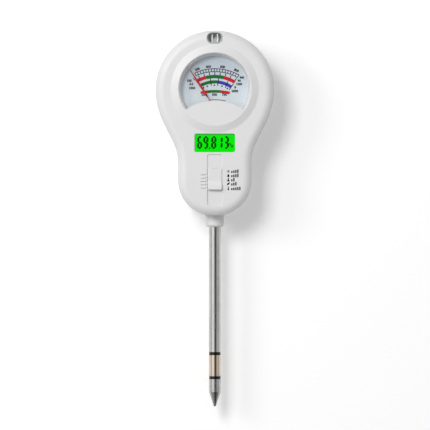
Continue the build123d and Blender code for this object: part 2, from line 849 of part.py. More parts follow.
def circuit_board():
    """Board behind the display and the switch, cut away round the case bosses."""
    field = Pos(0, (board_low + board_high) / 2) * Rectangle(2 * board_half_width, board_high - board_low)
    board = slab(body_outline(wall + board_edge_gap) & field, board_front_y, board_back_y)
    for x, z in case_screw_places[:2]:
        notch = boss_radius + run_gap
        board -= bar(2 * neck_half_width, z - notch, z + notch, board_front_y, board_back_y,
                     x + math.copysign(neck_half_width - notch, x))
    for x, z in board_post_places:
        board -= disc(small_hole_radius, board_front_y, board_back_y, x, z)
    for x, z in switch_pin_places():
        board -= disc(switch_pin_radius + glue_gap, board_front_y, board_back_y, x, z)
    return board


def board_chip():
    """Resin drop over the bare chip."""
    drop = disc(chip_radius, board_back_y, board_back_y + chip_height, z=base_z + chip_rise)
    return fillet(edges_at(drop, board_back_y + chip_height), chip_round)


def board_parts():
    """Small soldered parts, in a column each side of the chip."""
    parts = []
    for side in (-1, 1):
        for row in range(chip_part_rows):
            z = base_z + chip_rise + (row - (chip_part_rows - 1) / 2) * chip_part_pitch
            parts.append(bar(chip_part_length, z - chip_part_width / 2, z + chip_part_width / 2,
                             board_back_y, board_back_y + chip_part_height, side * chip_part_x))
    return parts


def switch_pin_places():
    """Solder pins in two rows, one pair for each position of the switch."""
    return [(side * switch_pin_spread, stem_mid + step * switch_pitch)
            for side in (-1, 1) for step in range(switch_steps + 1)]


def switch_can():
    """Folded metal cover of the switch, slotted for its lever."""
    can = bar(can_width, can_low, can_high, can_front_y, board_front_y)
    can -= bar(can_width - 2 * can_wall, can_low + can_wall, can_high - can_wall,
               can_front_y + can_wall, board_front_y)
    half = lever_length / 2 + slip_gap
    return can - bar(lever_width + 2 * slip_gap, stem_mid - half, stem_mid + switch_travel + half,
                     can_front_y, can_front_y + can_wall)


def switch_base():
    """Insulating base that carries the switch's contacts."""
    inset = can_wall + glue_gap
    return bar(can_width - 2 * inset, can_low + inset, can_high - inset,
               board_front_y - switch_base_height, board_front_y)


def switch_pins():
    """Solder pins of the switch, down through the board."""
    return [disc(switch_pin_radius, board_front_y, board_front_y + switch_pin_length, x, z)
            for x, z in switch_pin_places()]


def switch_actuator():
    """Sliding block of the switch, with the lever that the carrier's fork holds."""
    block_front = can_front_y + can_wall + slip_gap
    block = bar(block_width, stem_mid - block_length / 2, stem_mid + block_length / 2,
                block_front, block_front + block_height)
    return block + bar(lever_width, stem_mid - lever_length / 2, stem_mid + lever_length / 2,
                       lever_front_y, block_front)


def slider_carrier():
    """Plate behind the slot: it keeps dust out, and its fork drives the switch."""
    low = slot_low - switch_travel - carrier_overlap
    high = slot_high + carrier_overlap
    carrier = bar(carrier_width, low, high, carrier_front_y, carrier_back_y)
    fork_back = can_front_y - run_gap
    for side in (-1, 1):
        near = stem_mid + side * (lever_length / 2 + glue_gap)
        far = near + side * fork_thickness
        carrier += bar(fork_width, min(near, far), max(near, far), carrier_back_y, fork_back)
    return carrier - bar(stem_width, stem_low, stem_high, carrier_front_y, carrier_back_y)


def thumb_slider():
    """Thumb piece: a low plate that hollows up to a crest at its foot."""
    slider_high = slider_low + slider_length
    back = slider_back_y
    foot_z = slider_low + slider_crest
    ramp_z = foot_z + slider_ramp
    crest_y = back - slider_peak
    head_y = back - slider_thin
    hollow = (back - slider_mid, (foot_z + ramp_z) / 2)
    side_view = [Polyline((head_y, ramp_z), (head_y, slider_high), (back, slider_high), (back, slider_low),
                          (crest_y, slider_low), (crest_y, foot_z)),
                 ThreePointArc((crest_y, foot_z), hollow, (head_y, ramp_z))]
    body = extrude(Plane.YZ * make_face(side_view), amount=slider_width / 2, both=True)
    outer = body.edges().filter_by(
        lambda edge: (edge @ 0.5).Y < back - glue_gap and abs((edge @ 0.5).Z - ramp_z) > glue_gap)
    body = fillet(outer, slider_round)
    return body + bar(stem_width, stem_low, stem_high, back, carrier_back_y)


def sensor_window():
    """Clear window that follows the slope of the case."""
    sheet = outside - Pos(0, sensor_pane, 0) * outside
    return sheet & slab(sensor_outline(glue_gap), front_y, 0)


def sensor_cup():
    """Dark cup behind the window that holds the light sensor."""
    behind = Pos(0, sensor_pane + glue_gap, 0) * outside
    cup = slab(sensor_outline(glue_gap), front_y, cup_back_y) & behind
    cup -= slab(sensor_outline(cup_wall), front_y, cup_back_y - cup_wall)
    for side in (-1, 1):
        low, high = lead_foot()
        cup -= bar(lead_thickness + 2 * glue_gap, low - glue_gap, high + glue_gap,
                   cup_back_y - cup_wall, cup_back_y, side * lead_spread)
    return cup


def lead_foot():
    """Lower and upper height of the sensor leads' feet."""
    low = sensor_z - sensor_height / 2 + cup_wall + glue_gap
    return low, low + lead_thickness


def photodiode():
    """Light sensor on the back wall of its cup."""
    low = lead_foot()[0]
    back = cup_back_y - cup_wall
    return bar(diode_width, low, low + diode_height, back - diode_depth, back)


def photodiode_leads():
    """Two bright posts beside the sensor, with feet that run out through the cup."""
    low, high = lead_foot()
    leads = []
    for side in (-1, 1):
        post = bar(lead_thickness, low, low + lead_height, lead_front_y, lead_front_y + lead_thickness,
                   side * lead_spread)
        post += bar(lead_thickness, low, high, lead_front_y, cup_back_y + lead_tail, side * lead_spread)
        leads.append(post)
    return leads


def sensor_wires():
    """Leads from the light sensor, down both sides of the meter to the board."""
    low, high = lead_foot()
    start_y = cup_back_y + lead_tail
    wires = []
    for side in (-1, 1):
        near, far = side * lead_spread, side * sensor_wire_x
        level = (low + high) / 2
        wires.append(lead([(near, start_y, level), (near, start_y + 2 * wire_bend, level),
                           (near, wire_lay_y, level - 3 * wire_bend), (far, wire_lay_y, head_boss_z),
                           (far, wire_lay_y, board_high - board_post_high_drop)]))
    return wires


def meter_wires():
    """Leads from the meter's frame to the head of the board."""
    wires = []
    start_y = frame_back_y + wire_radius
    start_z = pivot_z - math.sqrt(yoke_radius ** 2 - meter_wire_x ** 2)
    for x in (-meter_wire_x, meter_wire_x):
        wires.append(lead([(x, start_y, start_z + wire_bend), (x, start_y, start_z - wire_bend),
                           (x, wire_lay_y, board_high - 2 * wire_bend), (x, wire_lay_y, lcd_z)]))
    return wires


def battery_cells():
    """Two cells, one each way up."""
    barrel = cell_length - cell_nub_height
    cell = fillet(rod(cell_radius, 0, barrel).edges().filter_by(GeomType.CIRCLE), cell_round)
    cell += rod(cell_nub_radius, barrel, cell_length)
    low = tub_low + contact_room
    left = Pos(-cell_spacing / 2, cell_y, low) * cell
    right = Pos(cell_spacing / 2, cell_y, low + cell_length) * Rot(180, 0, 0) * cell
    return [left, right]


def contact_plate(width, x):
    """Flat contact on the lower wall of the tub."""
    return Pos(x, cell_y, tub_low + contact_thickness / 2) * Box(width, contact_width, contact_thickness)


def contact_bow(x):
    """Bowed strip that presses on the flat end of a cell."""
    foot = tub_low + contact_thickness
    crest = tub_low + contact_room
    half = contact_width / 2 - contact_thickness
    drop = contact_thickness / 2
    bows = []
    for reach, top in ((half, crest), (half - drop, crest - drop)):
        near, far = (cell_y - reach, foot), (cell_y + reach, foot)
        bows.append(make_face([ThreePointArc(near, (cell_y, top), far), Line(far, near)]))
    strip = bows[0] - bows[1]
    return Pos(x, 0, 0) * extrude(Plane.YZ * strip, amount=contact_bow_width / 2, both=True)


def contact_dimple(x):
    """Round dimple that meets the raised end of a cell."""
    return rod(contact_dimple_radius, tub_low + contact_thickness, tub_low + contact_room, x, cell_y)


def battery_contacts():
    """Lower contacts, each with a tab that goes down through the tub."""
    contacts = []
    for x, touch in ((-cell_spacing / 2, contact_bow), (cell_spacing / 2, contact_dimple)):
        contact = contact_plate(contact_width, x) + touch(x)
        contact += Pos(x, cell_y, tub_low - tab_length / 2) * Box(tab_width, contact_thickness, tab_length)
        contacts.append(contact)
    return contacts


def battery_link():
    """Upper contact, which joins both cells."""
    link = contact_plate(cell_spacing + contact_width, 0)
    link += contact_bow(cell_spacing / 2) + contact_dimple(-cell_spacing / 2)
    return mirror(link, about=Plane.XY.offset((tub_low + tub_high) / 2))


def battery_wires():
    """Leads from the lower contacts to the board."""
    wires = []
    level = tub_low - tub_wall - wire_radius - slip_gap
    for side in (-1, 1):
        x = side * cell_spacing / 2
        far = x + side * 2 * wire_bend
        rise = level + 3 * wire_bend
        wires.append(lead([(x, cell_y - contact_thickness / 2, level), (x, -wire_bend, level),
                           (far, wire_lay_y, rise), (far, wire_lay_y, rise + 3 * wire_bend)]))
    return wires


def probe_collar():
    """White collar under the case, held by its flange."""
    collar = rod(collar_radius, 0, gasket_top) + rod(flange_radius, gasket_top, flange_top)
    low = collar.edges().filter_by(lambda edge: (edge @ 0.5).Z < glue_gap)
    collar = fillet(low, collar_round)
    return collar - rod(tube_head_radius + pivot_gap, 0, flange_top)


def collar_gasket():
    """Rubber washer between the collar's flange and the case."""
    return rod(flange_radius, seat_z, gasket_top) - rod(collar_radius + glue_gap, seat_z, gasket_top)


def sleeve(z_low, z_high):
    """A length of the probe's outside, bored for the core."""
    return rod(tube_radius, z_low, z_high) - rod(bore_radius, z_low, z_high)


def probe_tube():
    """Steel tube, turned down above its shoulder to sit in the collar."""
    head = rod(tube_head_radius, 0, flange_top) - rod(bore_radius, 0, flange_top)
    return sleeve(-tube_length, 0) + head


def probe_tip():
    """Steel point, bored for the foot of the core."""
    low = tip_shoulder - point_length
    centre = low + point_radius
    reach = math.hypot(tube_radius, tip_shoulder - centre)
    turn = math.atan2(tube_radius, tip_shoulder - centre) + math.acos(point_radius / reach)
    touch = (point_radius * math.sin(turn), centre + point_radius * math.cos(turn))
    half = turn + (math.pi - turn) / 2
    nose = (point_radius * math.sin(half), centre + point_radius * math.cos(half))
    edges = [Line((0, low), (0, tip_top)), Line((0, tip_top), (tube_radius, tip_top)),
             Line((tube_radius, tip_top), (tube_radius, tip_shoulder)),
             Line((tube_radius, tip_shoulder), touch), ThreePointArc(touch, nose, (0, low))]
    solid = revolve(Plane.XZ * make_face(edges), axis=Axis.Z)
    return solid - rod(bore_radius, core_low - run_gap, tip_top)


def probe_core():
    """Insulating core that lines the tube and carries both electrodes."""
    return rod(core_radius, core_low, core_top) - rod(core_bore_radius, core_low, core_top)


def thermistor():
    """Temperature bead at the foot of the core."""
    bead = rod(bead_radius, core_low, bead_top)
    return fillet(bead.edges().filter_by(GeomType.CIRCLE), bead_radius / 2)


def probe_wires():
    """Leads from the bead and the electrodes, up through the core to the board."""
    wires = []
    for number in range(probe_wire_count):
        angle = 2 * math.pi * number / probe_wire_count + math.pi / 2
        x, y = probe_wire_spread * math.cos(angle), probe_wire_spread * math.sin(angle)
        far = x + probe_wire_pitch * (0, -1, 1)[number]
        rise = core_top + 2 * wire_bend
        wires.append(lead([(x, y, bead_top + glue_gap), (x, y, rise),
                           (far, wire_lay_y, rise + 3 * wire_bend),
                           (far, wire_lay_y, rise + 6 * wire_bend)]))
    return wires


lcd_backlight, contact_strip = lcd_pockets(glue_gap)

pieces = {
    "front_shell": front_shell(),
    "rear_shell": rear_shell(),
    "battery_door": battery_door(),
    "case_screws": case_screws(),
    "dial_window": dial_window(),
    "dial_plate": dial_plate(),
    "meter_yoke": meter_yoke(),
    "meter_magnet": meter_magnet(),
    "magnet_spokes": magnet_spokes(),
    "meter_frame": meter_frame(),
    "front_bridge": bridge(bridge_front_y, bridge_back_y, bridge_back_y, meter_front_y),
    "rear_bridge": bridge(frame_back_y, rear_bridge_y, frame_back_y, rear_bridge_y),
    "jewel_bearings": jewel_bearings(),
    "hairspring": hairspring(),
    "meter_screws": small_screws(meter_post_places, frame_back_y),
    "meter_wires": meter_wires(),
    "needle": needle(),
    "needle_weights": needle_weights(),
    "needle_staff": needle_staff(),
    "moving_coil": moving_coil(),
    "lcd_glass": lcd_glass(),
    "lcd_backlight": lcd_backlight,
    "contact_strip": contact_strip,
    "lcd_frame": lcd_frame(),
    "circuit_board": circuit_board(),
    "board_chip": board_chip(),
    "board_parts": board_parts(),
    "board_screws": small_screws(board_post_places, board_back_y),
    "switch_can": switch_can(),
    "switch_base": switch_base(),
    "switch_pins": switch_pins(),
    "switch_actuator": switch_actuator(),
    "slider_carrier": slider_carrier(),
    "thumb_slider": thumb_slider(),
    "sensor_window": sensor_window(),
    "sensor_cup": sensor_cup(),
    "photodiode": photodiode(),
    "photodiode_leads": photodiode_leads(),
    "sensor_wires": sensor_wires(),
    "battery_cells": battery_cells(),
    "battery_contacts": battery_contacts(),
    "battery_link": battery_link(),
    "battery_wires": battery_wires(),
    "probe_collar": probe_collar(),
    "collar_gasket": collar_gasket(),
    "probe_tube": probe_tube(),
    "upper_insulator": sleeve(band_top, -tube_length),
    "ring_electrode": sleeve(band_low, band_top),
    "lower_insulator": sleeve(tip_top, band_low),
    "probe_tip": probe_tip(),
    "probe_core": probe_core(),
    "thermistor": thermistor(),
    "probe_wires": probe_wires(),
}

os.makedirs("parts", exist_ok=True)
for node, shape in pieces.items():
    solids = shape if isinstance(shape, list) else [shape]
    group = [solid for item in solids for solid in item.solids()]
    export_step(Compound(children=group) if len(group) > 1 else group[0], f"parts/{node}.step")
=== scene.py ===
"""Looks of a hand-held soil tester: finishes, dial print, lit display, switch marks and stage.

The packed solids come from the frame. Print and marks are the only shapes made here, in millimetres.
"""

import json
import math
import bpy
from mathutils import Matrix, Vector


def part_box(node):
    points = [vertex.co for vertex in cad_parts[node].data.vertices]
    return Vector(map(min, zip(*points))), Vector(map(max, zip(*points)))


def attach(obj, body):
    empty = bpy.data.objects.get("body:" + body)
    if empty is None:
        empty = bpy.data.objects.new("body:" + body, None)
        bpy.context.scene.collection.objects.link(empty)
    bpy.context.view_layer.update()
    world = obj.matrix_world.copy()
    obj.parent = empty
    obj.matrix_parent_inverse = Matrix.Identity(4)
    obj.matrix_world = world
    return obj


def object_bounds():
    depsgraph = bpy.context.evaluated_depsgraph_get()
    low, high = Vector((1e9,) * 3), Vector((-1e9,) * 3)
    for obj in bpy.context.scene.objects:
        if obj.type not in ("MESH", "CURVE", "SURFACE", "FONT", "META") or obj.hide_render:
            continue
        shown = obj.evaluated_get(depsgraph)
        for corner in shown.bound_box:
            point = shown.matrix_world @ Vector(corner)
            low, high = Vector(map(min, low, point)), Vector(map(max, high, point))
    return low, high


bl_info = {
    "name": "Soil tester",
    "version": (1, 0, 0),
    "blender": (4, 5, 0),
    "location": "3D View > Sidebar > Soil tester",
    "description": "Dresses the packed solids of a hand-held soil tester",
    "category": "Object",
}

import bmesh
import bpy
from bpy.props import FloatProperty, FloatVectorProperty, PointerProperty, StringProperty
from mathutils import Matrix, Vector

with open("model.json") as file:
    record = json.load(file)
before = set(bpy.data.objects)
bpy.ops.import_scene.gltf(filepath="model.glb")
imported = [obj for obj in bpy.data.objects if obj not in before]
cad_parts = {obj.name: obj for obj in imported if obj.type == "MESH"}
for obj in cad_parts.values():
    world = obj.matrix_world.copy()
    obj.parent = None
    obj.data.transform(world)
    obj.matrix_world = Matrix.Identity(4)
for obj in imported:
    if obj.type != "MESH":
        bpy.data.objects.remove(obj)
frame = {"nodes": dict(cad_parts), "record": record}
CAD_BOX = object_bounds()
NODES = frame["nodes"]
SLOT_OF = {row["node"]: row["material_slot"] for row in frame["record"]["subparts"]}

MM = 0.001
PRINT_DEPTH = 0.03
SHARP_ANGLE = math.radians(24.0)
NOISE_LOW, NOISE_HIGH = 0.3, 0.7
STREAK_LOW, STREAK_HIGH = 0.35, 0.75


# Colours and small helpers


def shown(red, green, blue):
    """A colour given as it shows on a screen, 0 to 255, as the linear colour Blender takes."""
    linear = []
    for value in (red, green, blue):
        share = value / 255.0
        linear.append(share / 12.92 if share <= 0.04045 else ((share + 0.055) / 1.055) ** 2.4)
    return tuple(linear)


def opaque(colour):
    """The colour with full cover, as shader sockets want it."""
    return (colour[0], colour[1], colour[2], 1.0)


def lighter(colour, times):
    """The colour made lighter or darker."""
    return tuple(min(1.0, max(0.0, part * times)) for part in colour)


def low(node):
    """A packed solid's lowest corner, in millimetres."""
    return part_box(node)[0] / MM


def high(node):
    """A packed solid's highest corner, in millimetres."""
    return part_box(node)[1] / MM


# Settings


def tint(name, description, red, green, blue):
    """A colour that a user can change."""
    return FloatVectorProperty(name=name, description=description, default=shown(red, green, blue),
                               min=0.0, max=1.0, size=3, subtype="COLOR")


def share(name, description, default):
    """A share from nought to one that a user can change."""
    return FloatProperty(name=name, description=description, default=default, min=0.0, max=1.0,
                         subtype="FACTOR")


def length(name, description, millimetres):
    """A length that a user can change."""
    return FloatProperty(name=name, description=description, default=millimetres * MM, min=0.0,
                         unit="LENGTH", subtype="DISTANCE", precision=5)


def power(name, description, watts):
    """A lamp's power that a user can change."""
    return FloatProperty(name=name, description=description, default=watts, min=0.0, unit="POWER")


class SOILTESTER_PG_case(bpy.types.PropertyGroup):
    """Case and switch"""

    plastic: tint("Plastic", "Colour of the moulded case", 225, 224, 224)
    gloss: share("Roughness", "Roughness of the moulded case", 0.42)
    grain: length("Grain", "Depth of the mould's fine grain", 0.012)
    mark_ink: tint("Mark ink", "Colour of the marks beside the switch", 14, 14, 18)
    mark_height: length("Mark height", "Height of one switch mark", 2.1)


class SOILTESTER_PG_dial(bpy.types.PropertyGroup):
    """Dial and needle"""

    # The card's head colour is darker than its foot colour as painted shade: the rim of the dial's well
    # would shade the head.
    card: tint("Card", "Colour of the dial's card at its head", 192, 201, 210)
    card_foot: tint("Card foot", "Colour of the dial's card at its foot", 219, 226, 231)
    red: tint("Red", "Red of the scale bands", 200, 28, 40)
    green: tint("Green", "Green of the scale bands", 14, 104, 36)
    blue: tint("Blue", "Blue of the scale bands", 66, 54, 172)
    ink: tint("Ink", "Ink of the scale and its numbers", 10, 10, 14)
    needle: tint("Needle", "Colour of the needle's paint", 168, 20, 36)


class SOILTESTER_PG_display(bpy.types.PropertyGroup):
    """Display"""

    lit: tint("Lit field", "Colour of the lit display", 3, 236, 4)
    # The edge colour is painted shade along the display's upper and left edge, where the opening's walls
    # would shade it.
    edge: tint("Lit edge", "Colour of the display's darker edge", 58, 146, 64)
    segment: tint("Segments", "Colour of a dark segment", 4, 58, 6)
    reading: StringProperty(name="Reading", description="Number that the display shows", default="69.813")


class SOILTESTER_PG_probe(bpy.types.PropertyGroup):
    """Probe"""

    steel: tint("Steel", "Colour of the probe's steel", 202, 202, 200)
    brass: tint("Brass", "Colour of the contact band", 218, 203, 184)
    insulator: tint("Insulator", "Colour of the two rings", 10, 9, 9)


class SOILTESTER_PG_stage(bpy.types.PropertyGroup):
    """Stage"""

    backdrop: tint("Backdrop", "Colour of the floor and the backdrop", 254, 254, 254)
    frame_width: length("Picture width", "Width that the camera takes in at the tester", 258.0)
    lens: FloatProperty(name="Lens", description="Focal length of the camera in millimetres",
                        default=1200.0, min=20.0, subtype="DISTANCE_CAMERA")
    key: power("Key light", "Power of the soft light above the camera", 10.9)
    fill: power("Fill light", "Power of the soft light at the far left", 5.2)
    back: power("Back light", "Power of the soft light behind the tester", 9.0)
    room: FloatProperty(name="Room light", description="Strength of the light from all round",
                        default=0.492, min=0.0)


# Finishes


class Finish:
    """One node material while it is put together."""

    def __init__(self, name):
        self.material = bpy.data.materials.new(name)
        self.material.use_nodes = True
        self.tree = self.material.node_tree
        self.tree.nodes.clear()
        self.place = self.node("ShaderNodeTexCoord").outputs["Object"]

    def node(self, kind, inputs=None, **settings):
        """Adds a node; an input is either a value or the socket that feeds it."""
        made = self.tree.nodes.new(kind)
        for key, value in settings.items():
            setattr(made, key, value)
        for key, value in (inputs or {}).items():
            if isinstance(value, bpy.types.NodeSocket):
                self.tree.links.new(value, made.inputs[key])
            else:
                made.inputs[key].default_value = value
        return made

    def noise(self, size, detail=3.0, stretch=(1.0, 1.0, 1.0), rough=0.5):
        """Cloudy noise whose blobs are about size metres wide, drawn out along each axis by stretch."""
        shrunk = tuple(1.0 / part for part in stretch)
        scaled = self.node("ShaderNodeMapping", {"Vector": self.place, "Scale": shrunk})
        return self.node("ShaderNodeTexNoise", {"Vector": scaled.outputs["Vector"], "Scale": 1.0 / size,
                                                "Detail": detail, "Roughness": rough}).outputs["Fac"]

    def ranged(self, value, low_in, high_in, low_out, high_out, smooth=False):
        """The value carried from one range to another."""
        made = self.node("ShaderNodeMapRange", {"Value": value, "From Min": low_in, "From Max": high_in,
                                                "To Min": low_out, "To Max": high_out})
        if smooth:
            made.interpolation_type = "SMOOTHSTEP"
        return made.outputs["Result"]

    def worn(self, noise, smoothest, roughest):
        """A roughness that follows a noise."""
        return self.ranged(noise, NOISE_LOW, NOISE_HIGH, smoothest, roughest)

    def mixed(self, amount, first, second):
        """A colour between two others."""
        made = self.node("ShaderNodeMix", data_type="RGBA")
        self.tree.links.new(amount, made.inputs[0])
        for socket, colour in ((made.inputs[6], first), (made.inputs[7], second)):
            if isinstance(colour, bpy.types.NodeSocket):
                self.tree.links.new(colour, socket)
            else:
                socket.default_value = opaque(colour)
        return made.outputs[2]

    def maths(self, operation, first, second):
        """One sum of two values."""
        made = self.node("ShaderNodeMath", operation=operation)
        for socket, value in zip(made.inputs, (first, second)):
            if isinstance(value, bpy.types.NodeSocket):
                self.tree.links.new(value, socket)
            else:
                socket.default_value = value
        return made.outputs[0]

    def axes(self):
        """The place split into its three axes."""
        return self.node("ShaderNodeSeparateXYZ", {"Vector": self.place}).outputs

    def bump(self, height, depth):
        """Relief from a height, depth metres deep."""
        made = self.node("ShaderNodeBump", {"Height": height, "Distance": depth, "Strength": 1.0})
        return made.outputs["Normal"]

    def surface(self, **inputs):
        """The main shader; underscores in an input's name stand for spaces."""
        return self.node("ShaderNodeBsdfPrincipled",
                         {key.replace("_", " "): value for key, value in inputs.items()}).outputs["BSDF"]

    def done(self, shader):
        """Connects the shader and gives the material."""
        output = self.node("ShaderNodeOutputMaterial")
        self.tree.links.new(shader, output.inputs["Surface"])
        return self.material


def moulded(name, colour, roughness, grain_depth, grain_size=0.00035, cloud=0.03):
    """Moulded plastic: spark-eroded grain, faint flow clouds, handled spots that shine a little more."""
    made = Finish(name)
    flow = made.noise(0.018, 3.0)
    handled = made.noise(0.006, 4.0, rough=0.6)
    grain = made.noise(grain_size, 2.0)
    base = made.mixed(flow, lighter(colour, 1.0 - cloud), lighter(colour, 1.0 + cloud * 0.5))
    rough = made.worn(handled, roughness - 0.05, roughness + 0.07)
    return made.done(made.surface(Base_Color=base, Roughness=rough, IOR=1.49,
                                  Normal=made.bump(grain, grain_depth)))


def worked_metal(name, colour, roughness, stretch, mark_size=0.0004, mark_depth=0.000004, tarnish=None):
    """Drawn, turned or stamped metal: fine marks along one direction, and a cloudy tarnish."""
    made = Finish(name)
    marks = made.noise(mark_size, 4.0, stretch, 0.65)
    cloud = made.noise(0.007, 4.0, rough=0.6)
    clean_below, dull_above = 0.42, 0.75
    dull = lighter(colour, 0.82) if tarnish is None else tarnish
    base = made.mixed(made.ranged(cloud, clean_below, dull_above, 0.0, 1.0), colour, dull)
    both = made.maths("ADD", marks, cloud)
    rough = made.ranged(both, 0.7, 1.3, roughness - 0.05, roughness + 0.09)
    return made.done(made.surface(Base_Color=base, Metallic=1.0, Roughness=rough,
                                  Normal=made.bump(marks, mark_depth)))


def clear_pane(name, colour, roughness, haze, mirror):
    """Clear moulding that lets light and shadow rays straight through, with faint haze and wipe marks."""
    made = Finish(name)
    wipes = made.noise(0.0012, 4.0, (6.0, 1.0, 1.0), 0.6)
    rough = made.ranged(wipes, STREAK_LOW, STREAK_HIGH, roughness, roughness + haze)
    ripple = made.bump(made.noise(0.009, 2.0), 0.000006)
    glass = made.surface(Base_Color=opaque(colour), Roughness=rough, IOR=1.49, Transmission_Weight=1.0,
                         Specular_Tint=(mirror, mirror, mirror, 1.0), Normal=ripple)
    straight = made.node("ShaderNodeBsdfTransparent", {"Color": opaque(colour)}).outputs["BSDF"]
    path = made.node("ShaderNodeLightPath").outputs
    let_through = made.maths("MAXIMUM", path["Is Shadow Ray"], path["Is Diffuse Ray"])
    mix = made.node("ShaderNodeMixShader", {"Fac": let_through})
    made.tree.links.new(glass, mix.inputs[1])
    made.tree.links.new(straight, mix.inputs[2])
    return made.done(mix.outputs["Shader"])


def printed(name, colour):
    """Screen-printed ink: slightly uneven cover and a satin skin."""
    made = Finish(name)
    cover = made.noise(0.0006, 3.0)
    base = made.mixed(cover, lighter(colour, 0.88), lighter(colour, 1.12))
    rough = made.worn(made.noise(0.0002, 2.0), 0.49, 0.61)
    return made.done(made.surface(Base_Color=base, Roughness=rough, IOR=1.45, Specular_IOR_Level=0.2))


def dial_card_with_painted_shade(name, head, foot, foot_z, head_z):
    """Lacquered dial card: cool grey with a fine fleck, and painted shade that darkens it from its foot
    towards its head, where the well's rim would shade it.
    """
    made = Finish(name)
    fleck = made.noise(0.00018, 2.0)
    cloud = made.noise(0.008, 3.0)
    # Painted shade: going up, the card runs from the pale foot colour to the darker head colour.
    rise = made.ranged(made.axes()[2], foot_z * MM, head_z * MM, 0.0, 1.0, True)
    pale = made.mixed(rise, foot, head)
    shade = made.mixed(rise, lighter(foot, 0.93), lighter(head, 0.93))
    base = made.mixed(made.maths("MULTIPLY", fleck, cloud), pale, shade)
    rough = made.worn(cloud, 0.5, 0.6)
    return made.done(made.surface(Base_Color=base, Roughness=rough, IOR=1.45, Specular_IOR_Level=0.25,
                                  Normal=made.bump(fleck, 0.000004)))


def lit_glass(name, lit, edge, box_low, box_high):
    """Display glass lit from behind, with painted shade along its upper and left edge where the opening's
    walls would shade it, under a smooth polariser.
    """
    made = Finish(name)
    x, _, z = made.axes()
    # Painted shade: the glow dims to the edge colour along the upper and left edge, where the opening's
    # walls would shade it.
    left_painted_shade, top_painted_shade = 0.7, 1.3
    past_left_painted_shade = made.ranged(x, box_low.x * MM, (box_low.x + left_painted_shade) * MM, 0.0, 1.0, True)
    past_top_painted_shade = made.ranged(z, box_high.z * MM, (box_high.z - top_painted_shade) * MM, 0.0, 1.0, True)
    bright = made.maths("MULTIPLY", past_left_painted_shade, past_top_painted_shade)
    patchy = made.noise(0.004, 2.0)
    glow = made.mixed(patchy, lighter(lit, 0.95), lighter(lit, 1.04))
    field = made.mixed(bright, edge, glow)
    rough = made.worn(made.noise(0.0003, 2.0), 0.16, 0.24)
    return made.done(made.surface(Base_Color=opaque(lighter(edge, 0.02)), Roughness=rough, IOR=1.5,
                                  Specular_IOR_Level=0.1, Emission_Color=field, Emission_Strength=0.97))


def dark_segment(name, colour):
    """A segment of the display that lets no light through, as smooth as the glass over it."""
    made = Finish(name)
    base = made.mixed(made.noise(0.0005, 2.0), lighter(colour, 0.8), lighter(colour, 1.2))
    rough = made.worn(made.noise(0.0003, 2.0), 0.16, 0.24)
    return made.done(made.surface(Base_Color=base, Roughness=rough, IOR=1.5, Specular_IOR_Level=0.1))


def tinned_wire(name):
    """Dip-tinned wire: pale and dull, with a faint crust."""
    made = Finish(name)
    crust = made.noise(0.0004, 3.0)
    base = made.mixed(crust, shown(226, 226, 228), shown(246, 246, 246))
    rough = made.worn(crust, 0.4, 0.55)
    return made.done(made.surface(Base_Color=base, Metallic=0.25, Roughness=rough,
                                  Normal=made.bump(crust, 0.000006)))


def board_finish(name):
    """Circuit board: green lacquer over copper tracks, with a woven ground."""
    made = Finish(name)
    tracks = made.node("ShaderNodeTexBrick", {"Vector": made.place, "Scale": 220.0, "Mortar Size": 0.035,
                                              "Color1": opaque(shown(18, 92, 46)),
                                              "Color2": opaque(shown(24, 104, 52)),
                                              "Mortar": opaque(shown(52, 140, 74))})
    weave = made.node("ShaderNodeTexChecker", {"Vector": made.place, "Scale": 2600.0}).outputs["Fac"]
    rough = made.worn(made.noise(0.003), 0.28, 0.4)
    return made.done(made.surface(Base_Color=tracks.outputs["Color"], Roughness=rough, IOR=1.5,
                                  Normal=made.bump(weave, 0.000006)))


def cell_jacket(name):
    """Battery jacket: a dark sleeve with a copper-coloured shoulder at the plus end, steel caps."""
    made = Finish(name)
    x, _, z = made.axes()
    foot, top = low("battery_cells").z, high("battery_cells").z
    rise = made.ranged(z, foot * MM, top * MM, 0.0, 1.0)
    turned = made.ranged(rise, 0.0, 1.0, 1.0, 0.0)
    side = made.maths("GREATER_THAN", x, 0.0)
    along = made.node("ShaderNodeMix", {"Factor": side}, data_type="FLOAT")
    made.tree.links.new(rise, along.inputs[2])
    made.tree.links.new(turned, along.inputs[3])
    bands = made.node("ShaderNodeValToRGB", {"Fac": along.outputs[0]})
    ramp = bands.color_ramp
    ramp.interpolation = "CONSTANT"
    stops = ((0.0, shown(196, 196, 198)), (0.025, shown(34, 36, 40)), (0.66, shown(190, 122, 66)),
             (0.69, shown(214, 158, 92)), (0.965, shown(200, 200, 202)))
    ramp.elements[1].position = stops[1][0]
    for position, _ in stops[2:]:
        ramp.elements.new(position)
    for element, (position, colour) in zip(ramp.elements, stops):
        element.position = position
        element.color = opaque(colour)
    scuffs = made.noise(0.002, 4.0, (1.0, 1.0, 5.0))
    rough = made.ranged(scuffs, STREAK_LOW, STREAK_HIGH, 0.26, 0.42)
    return made.done(made.surface(Base_Color=bands.outputs["Color"], Metallic=0.35, Roughness=rough,
                                  Normal=made.bump(scuffs, 0.000006)))


def wire_cover(name):
    """Wire covering: each wire in its own colour, with a waxy surface."""
    made = Finish(name)
    which = made.node("ShaderNodeNewGeometry").outputs["Random Per Island"]
    ramp = made.node("ShaderNodeValToRGB", {"Fac": which})
    ramp.color_ramp.interpolation = "CONSTANT"
    ramp.color_ramp.elements.new(0.66)
    colours = ((0.0, shown(178, 30, 32)), (0.33, shown(30, 30, 32)), (0.66, shown(222, 220, 214)))
    for element, (position, colour) in zip(ramp.color_ramp.elements, colours):
        element.position = position
        element.color = opaque(colour)
    rough = made.worn(made.noise(0.0008), 0.4, 0.55)
    return made.done(made.surface(Base_Color=ramp.outputs["Color"], Roughness=rough, IOR=1.46))


# Mesh making


